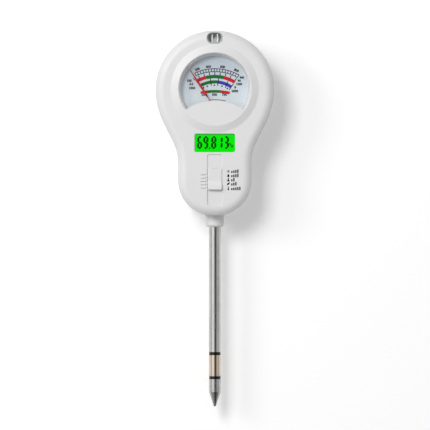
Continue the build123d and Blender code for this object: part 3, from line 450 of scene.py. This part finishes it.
def smooth_shell(obj):
    """Shades an object smooth, with its sharper edges kept crisp."""
    mesh = obj.data
    mesh.polygons.foreach_set("use_smooth", [True] * len(mesh.polygons))
    bm = bmesh.new()
    bm.from_mesh(mesh)
    crisp = [len(edge.link_faces) != 2 or edge.calc_face_angle(0.0) > SHARP_ANGLE for edge in bm.edges]
    bm.free()
    flags = mesh.attributes.get("sharp_edge") or mesh.attributes.new("sharp_edge", "BOOLEAN", "EDGE")
    flags.data.foreach_set("value", crisp)


def wear(node, material):
    """Gives a packed solid its finish."""
    obj = NODES[node]
    obj.data.materials.clear()
    obj.data.materials.append(material)
    obj.data.polygons.foreach_set("material_index", [0] * len(obj.data.polygons))


def new_piece(name, bm, body, material):
    """Turns a finished bmesh into a piece that rides a body."""
    bmesh.ops.recalc_face_normals(bm, faces=bm.faces)
    mesh = bpy.data.meshes.new(name)
    bm.to_mesh(mesh)
    bm.free()
    mesh.materials.append(material)
    obj = bpy.data.objects.new(name, mesh)
    bpy.context.scene.collection.objects.link(obj)
    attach(obj, body)


def add_flat(bm, points, y_back):
    """Adds a flat shape, seen from the front, that stands a print's depth proud of y_back."""
    back = [bm.verts.new((x * MM, y_back * MM, z * MM)) for x, z in points]
    front = [bm.verts.new((x * MM, (y_back - PRINT_DEPTH) * MM, z * MM)) for x, z in points]
    bm.faces.new(front)
    bm.faces.new(list(reversed(back)))
    count = len(points)
    for here in range(count):
        there = (here + 1) % count
        bm.faces.new((front[here], back[here], back[there], front[there]))


def add_bar(bm, left, foot, width, height, y_back):
    """Adds an upright bar."""
    right, top = left + width, foot + height
    add_flat(bm, [(left, foot), (right, foot), (right, top), (left, top)], y_back)


def add_arc(bm, centre, inner, outer, start, end, y_back, step=2.0):
    """Adds a curved band between two radii; angles in degrees from straight up, to the right positive."""
    count = max(1, int(math.ceil(abs(end - start) / step)))
    angles = [math.radians(start + (end - start) * number / count) for number in range(count + 1)]
    for first, second in zip(angles, angles[1:]):
        corners = [(centre[0] + radius * math.sin(angle), centre[1] + radius * math.cos(angle))
                   for radius, angle in ((inner, first), (outer, first), (outer, second), (inner, second))]
        add_flat(bm, corners, y_back)


def add_tick(bm, centre, inner, outer, angle, width, y_back):
    """Adds a straight tick along a radius; the angle is taken as for a curved band."""
    turn = math.radians(angle)
    along = Vector((math.sin(turn), math.cos(turn)))
    across = Vector((along.y, -along.x)) * (width / 2.0)
    middle = Vector(centre)
    corners = [middle + along * inner - across, middle + along * outer - across,
               middle + along * outer + across, middle + along * inner + across]
    add_flat(bm, [tuple(corner) for corner in corners], y_back)


def add_dot(bm, x, z, radius, y_back, sides=12):
    """Adds a round dot."""
    angles = [2 * math.pi * number / sides for number in range(sides)]
    ring = [(x + radius * math.cos(angle), z + radius * math.sin(angle)) for angle in angles]
    add_flat(bm, ring, y_back)


def add_number(bm, figures, x, z, height, turn, y_back):
    """Adds a plain number, centred on a place and turned in degrees, from Blender's own figures."""
    size_of_height, weight = 1.4, 0.075
    curve = bpy.data.curves.new("number", "FONT")
    curve.body = figures
    curve.align_x = "CENTER"
    curve.align_y = "CENTER"
    curve.size = height * MM * size_of_height
    curve.extrude = PRINT_DEPTH * MM / 2.0
    curve.offset = height * MM * weight
    curve.resolution_u = 3
    letters = bpy.data.objects.new("number", curve)
    mesh = bpy.data.meshes.new_from_object(letters)
    place = Matrix.Translation((x * MM, (y_back - PRINT_DEPTH / 2.0) * MM, z * MM))
    upright = Matrix.Rotation(math.radians(90.0), 4, "X")
    mesh.transform(place @ Matrix.Rotation(math.radians(turn), 4, "Y") @ upright)
    bm.from_mesh(mesh)
    bpy.data.objects.remove(letters)
    bpy.data.curves.remove(curve)
    bpy.data.meshes.remove(mesh)


# Pieces


class SOILTESTER_OT_case(bpy.types.Operator):
    """Gives the moulded case, its door, slider and collar their plastic"""

    bl_idname = "soiltester.case"
    bl_label = "Case"

    def execute(self, context):
        values = context.scene.soil_tester_case
        plastic = moulded("satin white plastic", values.plastic, values.gloss, values.grain)
        for node, slot in SLOT_OF.items():
            if slot == "white_plastic":
                wear(node, plastic)
        return {"FINISHED"}


class SOILTESTER_OT_windows(bpy.types.Operator):
    """Gives the two clear mouldings their finish"""

    bl_idname = "soiltester.windows"
    bl_label = "Windows"

    def execute(self, context):
        wear("dial_window", clear_pane("clear dial moulding", shown(253, 254, 254), 0.02, 0.05, 0.3))
        wear("sensor_window", clear_pane("clear sensor moulding", shown(252, 253, 253), 0.06, 0.08, 0.6))
        return {"FINISHED"}


# Centres, across and up, of the circles that the dial's bands and lines follow
UPPER_CENTRE = (0.0, 67.2)
MIDDLE_CENTRE = (0.0, 69.6)
LOWER_CENTRE = (0.0, 41.4)
LADDER_CENTRE = (0.0, 65.1)
HOOD_SHADE_CENTRE = (0.0, 44.2)


class SOILTESTER_OT_dial(bpy.types.Operator):
    """Prints the dial: a ladder scale, three coloured bands, ticks, dots and numbers, and a dark line of
    painted shade along the hood's edge; the card itself gets painted shade towards its head.
    """

    bl_idname = "soiltester.dial"
    bl_label = "Dial"

    def execute(self, context):
        values = context.scene.soil_tester_dial
        # Heights between which the card's painted shade runs, from the pale foot to the darker head.
        card_foot, card_head = 74.0, 100.0
        wear("dial_plate", dial_card_with_painted_shade("lacquered dial card", values.card, values.card_foot, card_foot,
                                     card_head))
        wear("needle", moulded("red needle paint", values.needle, 0.35, 0.000004, 0.0002, 0.06))
        face = low("dial_plate").y
        self.print_bands(values, face)
        ink = bmesh.new()
        self.print_ladder(ink, face)
        self.print_ticks(ink, face)
        self.print_numbers(ink, face)
        # This piece holds the scale print and also the painted shade line along the hood's edge.
        new_piece("dial_scale_print", ink, "case", printed("dark scale ink", values.ink))
        return {"FINISHED"}

    def print_bands(self, values, face):
        """The coloured bands, each with its two radii and the angles where its colours start and end."""
        bands = (
            (UPPER_CENTRE, 21.9, 24.0,
             ((-29.4, -13.6, "red"), (-13.6, 13.8, "green"), (13.8, 31.6, "red"))),
            (MIDDLE_CENTRE, 16.4, 18.35,
             ((-30.5, 5.2, "green"), (5.2, 34.6, "blue"))),
            (LOWER_CENTRE, 39.05, 40.75,
             ((-12.3, -6.6, "red"), (-6.6, 5.3, "green"), (5.3, 13.0, "red"))),
        )
        colours = {name: bmesh.new() for name in ("red", "green", "blue")}
        for centre, inner, outer, spans in bands:
            for start, end, colour in spans:
                add_arc(colours[colour], centre, inner, outer, start, end, face)
        for name, bm in colours.items():
            new_piece("dial_bands_" + name, bm, "case",
                      printed(name + " scale ink", getattr(values, name)))

    def print_ladder(self, ink, face):
        """The ladder over the bands: two curved lines with rungs between them."""
        inner, outer, line, start, end = 27.8, 30.0, 0.42, -23.8, 28.9
        rungs, rung_width = 17, 0.45
        add_arc(ink, LADDER_CENTRE, inner, inner + line, start, end, face)
        add_arc(ink, LADDER_CENTRE, outer - line, outer, start, end, face)
        for number in range(rungs):
            angle = start + (end - start) * number / (rungs - 1)
            add_tick(ink, LADDER_CENTRE, inner, outer, angle, rung_width, face)

    def print_ticks(self, ink, face):
        """Ticks over the upper band and across the middle one, dots, and a dark line of painted shade by
        the needle's foot, along the hood's edge.
        """
        tick_width = 0.5
        upper_inner, upper_outer = 24.0, 25.6
        for angle in (-30.0, -22.5, -15.0, -7.5, 0.0, 7.5, 15.0, 22.5, 30.5):
            add_tick(ink, UPPER_CENTRE, upper_inner, upper_outer, angle, tick_width, face)
        middle_inner, middle_outer = 15.2, 19.6
        for angle in (-8.0, 6.5, 24.0, 34.4):
            add_tick(ink, MIDDLE_CENTRE, middle_inner, middle_outer, angle, tick_width, face)
        dot_ring, dot_radius = 15.4, 0.5
        for angle in (-17.0, -26.0, -1.0, 16.0, 29.0):
            turn = math.radians(angle)
            x, z = dot_ring * math.sin(turn), MIDDLE_CENTRE[1] + dot_ring * math.cos(turn)
            add_dot(ink, x, z, dot_radius, face)
        # Painted shade: a thin dark arc just above the hood's edge, drawn in the scale ink, where the hood
        # meets the card.
        hood_shade_inner, hood_shade_outer, hood_shade_start, hood_shade_end = 31.9, 32.25, -6.8, 11.5
        add_arc(ink, HOOD_SHADE_CENTRE, hood_shade_inner, hood_shade_outer, hood_shade_start, hood_shade_end, face)

    def print_numbers(self, ink, face):
        """Plain numbers round the scales, each with its place, its height and how it is turned."""
        numbers = (
            ("200", -10.5, 94.5, 1.4, -20.0), ("400", -3.9, 96.0, 1.45, -7.0),
            ("600", 4.6, 95.9, 1.45, 8.0), ("800", 12.9, 93.8, 1.4, 25.0),
            ("900", 16.2, 89.5, 1.3, 0.0), ("100", -15.4, 87.6, 1.4, 0.0),
            ("4.0", -14.1, 85.6, 1.4, 0.0), ("1000", -13.7, 83.2, 1.4, 0.0),
            ("90", 14.6, 87.6, 1.35, 0.0), ("1000", 14.5, 85.6, 1.35, 0.0),
            ("8", 12.2, 83.6, 1.35, 0.0), ("2000", 12.0, 81.4, 1.4, 0.0),
            ("250", -6.4, 79.3, 1.45, 0.0), ("500", -0.2, 79.3, 1.45, 0.0), ("750", 5.8, 79.3, 1.45, 0.0),
        )
        for figures, x, z, height, turn in numbers:
            add_number(ink, figures, x, z, height, turn, face)


SEGMENTS = {"0": "abcdef", "1": "bc", "2": "abged", "3": "abgcd", "4": "fgbc", "5": "afgcd", "6": "afgedc",
            "7": "abc", "8": "abcdefg", "9": "abcdfg"}


def segment_shapes(left, foot, width, height, stroke, lean, lit):
    """The outlines of a figure's lit segments, each a bar with pointed ends."""
    gap_share = 0.06
    half, gap = stroke / 2.0, stroke * gap_share
    x_low, x_high = left + half, left + width - half
    z_low, z_mid, z_high = foot + half, foot + height / 2.0, foot + height - half
    ends = {"a": ((x_low, z_high), (x_high, z_high)), "b": ((x_high, z_mid), (x_high, z_high)),
            "c": ((x_high, z_low), (x_high, z_mid)), "d": ((x_low, z_low), (x_high, z_low)),
            "e": ((x_low, z_low), (x_low, z_mid)), "f": ((x_low, z_mid), (x_low, z_high)),
            "g": ((x_low, z_mid), (x_high, z_mid))}
    shapes = []
    for key in lit:
        start, end = Vector(ends[key][0]), Vector(ends[key][1])
        along = (end - start).normalized()
        side = Vector((-along.y, along.x)) * half
        start, end = start + along * gap, end - along * gap
        outline = [start, start + along * half + side, end - along * half + side, end,
                   end - along * half - side, start + along * half - side]
        shapes.append([(point.x + lean * (point.y - foot), point.y) for point in outline])
    return shapes


class SOILTESTER_OT_display(bpy.types.Operator):
    """Lights the display and sets its number in dark segments"""

    bl_idname = "soiltester.display"
    bl_label = "Display"

    def execute(self, context):
        values = context.scene.soil_tester_display
        opening_low, opening_high = Vector((-12.15, 0.0, 44.8)), Vector((12.15, 0.0, 55.9))
        glass = lit_glass("lit display glass", values.lit, values.edge, opening_low, opening_high)
        wear("lcd_glass", glass)
        face = low("lcd_glass").y
        bm = bmesh.new()
        foot, height, width, stroke, lean = 46.7, 7.75, 3.1, 1.2, 0.03
        point_gap, point_radius = 0.9, 0.5
        places = iter((-10.7, -7.1, -2.3, 1.5, 5.2))
        for letter in values.reading:
            if letter in SEGMENTS:
                left = next(places)
                for shape in segment_shapes(left, foot, width, height, stroke, lean, SEGMENTS[letter]):
                    add_flat(bm, shape, face)
            else:
                add_dot(bm, left + width + point_gap, foot + point_radius, point_radius, face)
        sign_centre, sign_inner, sign_outer, sign_step = (8.9, 49.6), 0.35, 0.75, 30.0
        add_arc(bm, sign_centre, sign_inner, sign_outer, 0.0, 360.0, face, sign_step)
        bar_foot, bar_width, bar_height = 47.6, 0.5, 1.7
        for left in (9.6, 10.5):
            add_bar(bm, left, bar_foot, bar_width, bar_height, face)
        new_piece("display_segments", bm, "case",
                  dark_segment("dark display segment", values.segment))
        return {"FINISHED"}


def drop_shape(x, z, radius):
    """A drop, point upwards."""
    start, sweep, steps, sink, point = -230.0, 280.0, 16, 0.35, 1.55
    angles = [math.radians(start + sweep * number / steps) for number in range(steps + 1)]
    round_z = z - radius * sink
    points = [(x + radius * math.cos(angle), round_z + radius * math.sin(angle)) for angle in angles]
    return points + [(x, z + radius * point)]


def leaf_shape(x, z, reach):
    """A leaf on a slant, as far from its middle to each end as reach says."""
    steps, breadth, slant, spread = 8, 0.52, 0.72, 0.62
    points = []
    for side in (1.0, -1.0):
        for number in range(steps):
            along = side * (-1.0 + 2.0 * number / steps)
            bow = side * breadth * (1.0 - along * along)
            points.append((x + reach * (along * slant - bow * spread),
                           z + reach * (along * slant + bow * spread)))
    return points


def add_sun(bm, x, z, reach, y_back):
    """Adds a small sun: a dot with rays round it."""
    rays, ray_start, ray_width, dot_share, dot_sides = 8, 0.62, 0.2, 0.42, 16
    add_dot(bm, x, z, dot_share * reach, y_back, dot_sides)
    for number in range(rays):
        add_tick(bm, (x, z), ray_start * reach, reach, 90.0 - 360.0 * number / rays, ray_width, y_back)


def add_flask(bm, x, z, half, y_back):
    """Adds a small flask: a broad foot that narrows to a neck."""
    foot, neck, shoulder = 0.9, 0.26, 0.2
    add_flat(bm, [(x - foot, z - half), (x + foot, z - half), (x + neck, z + shoulder),
                  (x + neck, z + half), (x - neck, z + half), (x - neck, z + shoulder)], y_back)


def add_thermometer(bm, x, z, half, y_back):
    """Adds a small thermometer: a bulb with a stem."""
    bulb_drop, bulb_share, bulb_sides, stem_width, stem_start = 0.55, 0.48, 16, 0.48, -0.2
    add_dot(bm, x, z - bulb_drop * half, bulb_share * half, y_back, bulb_sides)
    add_bar(bm, x - stem_width / 2.0, z + stem_start, stem_width, half - stem_start, y_back)


class SOILTESTER_OT_switch_marks(bpy.types.Operator):
    """Prints a plain sign and a row of level bars beside each place of the switch"""

    bl_idname = "soiltester.switch_marks"
    bl_label = "Switch marks"

    def execute(self, context):
        values = context.scene.soil_tester_case
        case_front = -16.0
        tall = values.mark_height / MM
        half = tall / 2.0
        rows = (33.4, 30.9, 28.4, 25.9, 23.1)
        sun, drop, flask, leaf, heat = rows
        sign_x, drop_sink, drop_share, leaf_share = 8.1, 0.1, 0.66, 1.1
        bm = bmesh.new()
        add_sun(bm, sign_x, sun, half, case_front)
        add_flat(bm, drop_shape(sign_x, drop - drop_sink, drop_share * half), case_front)
        add_flask(bm, sign_x, flask, half, case_front)
        add_flat(bm, leaf_shape(sign_x, leaf, leaf_share * half), case_front)
        add_thermometer(bm, sign_x, heat, half, case_front)
        bars_x, bar_pitch, bar_width, lowest = 9.8, 1.2, 0.78, 0.6
        for z, bars in zip(rows, (4, 4, 2, 3, 5)):
            for number in range(bars):
                rise = tall * (lowest + (1.0 - lowest) * number / (bars - 1))
                add_bar(bm, bars_x + number * bar_pitch, z - half, bar_width, rise, case_front)
        new_piece("switch_mark_print", bm, "case",
                  printed("dark mark ink", values.mark_ink))
        return {"FINISHED"}


class SOILTESTER_OT_probe(bpy.types.Operator):
    """Gives the probe its drawn steel, its turned contact band and its two rings"""

    bl_idname = "soiltester.probe"
    bl_label = "Probe"

    def execute(self, context):
        values = context.scene.soil_tester_probe
        mark_depth = 0.000001
        wear("probe_tube", worked_metal("drawn probe steel", values.steel, 0.2, (1.0, 1.0, 40.0), 0.00015,
                                        mark_depth))
        wear("probe_tip", worked_metal("ground tip steel", lighter(values.steel, 0.9), 0.22,
                                       (6.0, 6.0, 1.0), 0.0002, mark_depth))
        wear("ring_electrode", worked_metal("turned contact band", values.brass, 0.14, (8.0, 8.0, 1.0),
                                            0.0002, mark_depth, lighter(values.brass, 0.85)))
        ring = moulded("black ring plastic", values.insulator, 0.16, 0.000002)
        for node in ("upper_insulator", "lower_insulator"):
            wear(node, ring)
        return {"FINISHED"}


class SOILTESTER_OT_inside(bpy.types.Operator):
    """Gives the meter, the board, the battery and the wires inside their finishes"""

    bl_idname = "soiltester.inside"
    bl_label = "Inside"

    def execute(self, context):
        finishes = {
            "light_guide": moulded("milky light guide", shown(226, 232, 222), 0.3, 0.000004),
            "steel": worked_metal("plated steel", shown(190, 192, 196), 0.28, (1.0, 1.0, 4.0)),
            "soft_iron": worked_metal("dark soft iron", shown(96, 94, 92), 0.42, (3.0, 1.0, 1.0)),
            "meter_metal": worked_metal("stamped metal", shown(172, 174, 178), 0.34, (6.0, 1.0, 1.0)),
            "brass": worked_metal("small brass parts", shown(206, 172, 104), 0.28, (4.0, 4.0, 1.0)),
            "copper": worked_metal("wound copper wire", shown(184, 104, 62), 0.3, (12.0, 1.0, 12.0)),
            "ruby": moulded("ruby bearing", shown(168, 18, 50), 0.12, 0.000002),
            "black_plastic": moulded("black inner plastic", shown(30, 30, 32), 0.45, 0.00001),
            "grey_plastic": moulded("grey inner plastic", shown(150, 152, 156), 0.45, 0.00001),
            "rubber": moulded("black rubber", shown(36, 36, 38), 0.7, 0.00002),
            "board_green": board_finish("lacquered board"),
            "cell_jacket": cell_jacket("battery jacket"),
            "wire_cover": wire_cover("wire covering"),
            "bead_glass": moulded("glass bead", shown(120, 70, 44), 0.1, 0.000003),
        }
        done_with_probe = {"upper_insulator", "lower_insulator", "ring_electrode"}
        for node, slot in SLOT_OF.items():
            if slot in finishes and node not in done_with_probe:
                wear(node, finishes[slot])
        wear("photodiode_leads", tinned_wire("tinned sensor leads"))
        wear("photodiode", moulded("milky sensor resin", shown(198, 199, 200), 0.25, 0.000004))
        wear("sensor_cup", moulded("grey sensor cup", shown(186, 186, 187), 0.5, 0.00001))
        return {"FINISHED"}


class SOILTESTER_OT_shading(bpy.types.Operator):
    """Shades every packed solid smooth between its crisp edges"""

    bl_idname = "soiltester.shading"
    bl_label = "Shading"

    def execute(self, context):
        for obj in NODES.values():
            smooth_shell(obj)
        return {"FINISHED"}


def pale_sheet(name, colour):
    """Floor and backdrop finish: white to the camera and in reflections, and it only catches shadow."""
    made = Finish(name)
    lift_level = 0.09
    path = made.node("ShaderNodeLightPath").outputs
    seen = made.maths("MAXIMUM", path["Is Camera Ray"],
                      made.maths("MAXIMUM", path["Is Glossy Ray"], path["Is Transmission Ray"]))
    front = made.maths("SUBTRACT", 1.0, made.node("ShaderNodeNewGeometry").outputs["Backfacing"])
    paper = made.noise(0.02, 3.0)
    base = made.mixed(paper, lighter(colour, 0.995), colour)
    matt = made.node("ShaderNodeBsdfDiffuse", {"Color": base}).outputs["BSDF"]
    lift = made.maths("MULTIPLY", path["Is Camera Ray"], lift_level)
    glow = made.node("ShaderNodeEmission", {"Color": opaque(colour), "Strength": lift}).outputs["Emission"]
    lit = made.node("ShaderNodeAddShader")
    made.tree.links.new(matt, lit.inputs[0])
    made.tree.links.new(glow, lit.inputs[1])
    clear = made.node("ShaderNodeBsdfTransparent").outputs["BSDF"]
    mix = made.node("ShaderNodeMixShader", {"Fac": made.maths("MULTIPLY", seen, front)})
    made.tree.links.new(clear, mix.inputs[1])
    made.tree.links.new(lit.outputs["Shader"], mix.inputs[2])
    return made.done(mix.outputs["Shader"])


def stage_sheet(name, corners, material):
    """One large flat sheet of the stage, facing its first three corners' turning side."""
    bm = bmesh.new()
    bm.faces.new([bm.verts.new(corner) for corner in corners])
    bmesh.ops.subdivide_edges(bm, edges=bm.edges[:], cuts=3, use_grid_fill=True)
    mesh = bpy.data.meshes.new(name)
    bm.to_mesh(mesh)
    bm.free()
    mesh.materials.append(material)
    obj = bpy.data.objects.new(name, mesh)
    bpy.context.scene.collection.objects.link(obj)


# How bright the room's walls look to shiny parts, from the far left to the far right
ROOM_WALLS = ((0.0, 0.5), (0.06, 0.58), (0.14, 0.97), (0.28, 0.92), (0.44, 0.24), (0.56, 0.04),
              (0.67, 0.02), (0.78, 0.34), (0.91, 0.55), (1.0, 0.42))

# How far they fade towards the floor: heights on a ball of radius one, and the strength at each
FADE_FOOT, FADE_HEAD = (-0.75, 0.24), (-0.15, 1.2)


def soft_lamp(name, place, aim, size, power_watts):
    """A square soft box that points at a place."""
    lamp = bpy.data.lights.new(name, "AREA")
    lamp.shape = "SQUARE"
    lamp.size = size
    lamp.energy = power_watts
    obj = bpy.data.objects.new(name, lamp)
    obj.location = place
    obj.rotation_euler = (Vector(aim) - Vector(place)).to_track_quat("-Z", "Y").to_euler()
    bpy.context.scene.collection.objects.link(obj)


def studio_room(name, strength):
    """Even light from all round.

    Shiny parts see a bright sheet at the left instead, and a dark gap where the camera stands.
    """
    world = bpy.data.worlds.new(name)
    world.use_nodes = True
    tree = world.node_tree
    tree.nodes.clear()

    def add(kind, **settings):
        made = tree.nodes.new(kind)
        for key, value in settings.items():
            setattr(made, key, value)
        return made

    def glow(level):
        made = add("ShaderNodeBackground")
        made.inputs["Color"].default_value = (1.0, 1.0, 1.0, 1.0)
        made.inputs["Strength"].default_value = level
        return made

    path = add("ShaderNodeLightPath").outputs
    mirror = add("ShaderNodeMath", operation="MAXIMUM")
    tree.links.new(path["Is Glossy Ray"], mirror.inputs[0])
    tree.links.new(path["Is Transmission Ray"], mirror.inputs[1])
    way = add("ShaderNodeSeparateXYZ")
    tree.links.new(add("ShaderNodeTexCoord").outputs["Generated"], way.inputs["Vector"])
    across = add("ShaderNodeMapRange")
    tree.links.new(way.outputs["X"], across.inputs["Value"])
    across.inputs["From Min"].default_value = -1.0
    walls = add("ShaderNodeValToRGB")
    tree.links.new(across.outputs["Result"], walls.inputs["Fac"])
    ramp = walls.color_ramp
    while len(ramp.elements) < len(ROOM_WALLS):
        ramp.elements.new(0.5)
    for element, (position, level) in zip(ramp.elements, ROOM_WALLS):
        element.position = position
        element.color = (level, level, level, 1.0)
    mirrored = glow(1.0)
    tree.links.new(walls.outputs["Color"], mirrored.inputs["Color"])
    fade = add("ShaderNodeMapRange", interpolation_type="SMOOTHSTEP")
    tree.links.new(way.outputs["Z"], fade.inputs["Value"])
    for end, (height, level) in (("Min", FADE_FOOT), ("Max", FADE_HEAD)):
        fade.inputs["From " + end].default_value = height
        fade.inputs["To " + end].default_value = level
    tree.links.new(fade.outputs["Result"], mirrored.inputs["Strength"])
    shader = glow(strength).outputs["Background"]
    for amount, other in ((mirror.outputs[0], mirrored), (path["Is Camera Ray"], glow(1.0))):
        mix = add("ShaderNodeMixShader")
        tree.links.new(amount, mix.inputs["Fac"])
        tree.links.new(shader, mix.inputs[1])
        tree.links.new(other.outputs["Background"], mix.inputs[2])
        shader = mix.outputs["Shader"]
    tree.links.new(shader, add("ShaderNodeOutputWorld").inputs["Surface"])
    return world


class SOILTESTER_OT_stage(bpy.types.Operator):
    """Sets up the pale sheet that the tester lies on, the soft light and the camera"""

    bl_idname = "soiltester.stage"
    bl_label = "Stage"

    def execute(self, context):
        values = context.scene.soil_tester_stage
        scene = context.scene
        reach, gap = 0.4, 0.0003
        back = CAD_BOX[1].y + gap
        corners = ((-reach, back, -reach), (reach, back, -reach),
                   (reach, back, reach), (-reach, back, reach))
        stage_sheet("stage_floor", corners, pale_sheet("pale stage paper", values.backdrop))
        aim = (0.0, 0.0, 0.03)
        front_size, back_size = 0.5, 0.8
        soft_lamp("key_light", (-0.502, -1.379, 0.668), aim, front_size, values.key)
        soft_lamp("fill_light", (-1.166, -0.978, 0.524), aim, front_size, values.fill)
        soft_lamp("back_light", (-0.5, 1.4, 0.45), aim, back_size, values.back)
        scene.world = studio_room("studio room", values.room)
        camera = bpy.data.cameras.new("front_camera")
        camera.lens = values.lens
        camera.sensor_width = 36.0
        camera.clip_end = 40.0
        distance = values.frame_width * values.lens / camera.sensor_width
        middle_x, middle_z = 0.0001, 0.0072
        obj = bpy.data.objects.new("front_camera", camera)
        obj.location = (middle_x, -distance, middle_z)
        obj.rotation_euler = (math.radians(90.0), 0.0, 0.0)
        scene.collection.objects.link(obj)
        scene.camera = obj
        scene.view_settings.view_transform = "Standard"
        return {"FINISHED"}


class SOILTESTER_PT_panel(bpy.types.Panel):
    """Lists the tester's pieces and their settings"""

    bl_idname = "SOILTESTER_PT_panel"
    bl_label = "Soil tester"
    bl_space_type = "VIEW_3D"
    bl_region_type = "UI"
    bl_category = "Soil tester"

    def draw(self, context):
        for name, group in SETTINGS.items():
            box = self.layout.box()
            box.label(text=group.__doc__)
            for key in group.__annotations__:
                box.prop(getattr(context.scene, name), key)
        for piece in PIECES:
            self.layout.operator(piece.bl_idname)


SETTINGS = {
    "soil_tester_case": SOILTESTER_PG_case,
    "soil_tester_dial": SOILTESTER_PG_dial,
    "soil_tester_display": SOILTESTER_PG_display,
    "soil_tester_probe": SOILTESTER_PG_probe,
    "soil_tester_stage": SOILTESTER_PG_stage,
}

PIECES = (
    SOILTESTER_OT_case,
    SOILTESTER_OT_windows,
    SOILTESTER_OT_dial,
    SOILTESTER_OT_display,
    SOILTESTER_OT_switch_marks,
    SOILTESTER_OT_probe,
    SOILTESTER_OT_inside,
    SOILTESTER_OT_shading,
    SOILTESTER_OT_stage,
)


def register():
    for name, group in SETTINGS.items():
        bpy.utils.register_class(group)
        setattr(bpy.types.Scene, name, PointerProperty(type=group))
    for piece in PIECES:
        bpy.utils.register_class(piece)
    bpy.utils.register_class(SOILTESTER_PT_panel)


def unregister():
    bpy.utils.unregister_class(SOILTESTER_PT_panel)
    for piece in reversed(PIECES):
        bpy.utils.unregister_class(piece)
    for name, group in SETTINGS.items():
        delattr(bpy.types.Scene, name)
        bpy.utils.unregister_class(group)


def main():
    register()
    bpy.ops.soiltester.case()
    bpy.ops.soiltester.windows()
    bpy.ops.soiltester.dial()
    bpy.ops.soiltester.display()
    bpy.ops.soiltester.switch_marks()
    bpy.ops.soiltester.probe()
    bpy.ops.soiltester.inside()
    bpy.ops.soiltester.shading()
    bpy.ops.soiltester.stage()


if __name__ == "__main__":
    main()
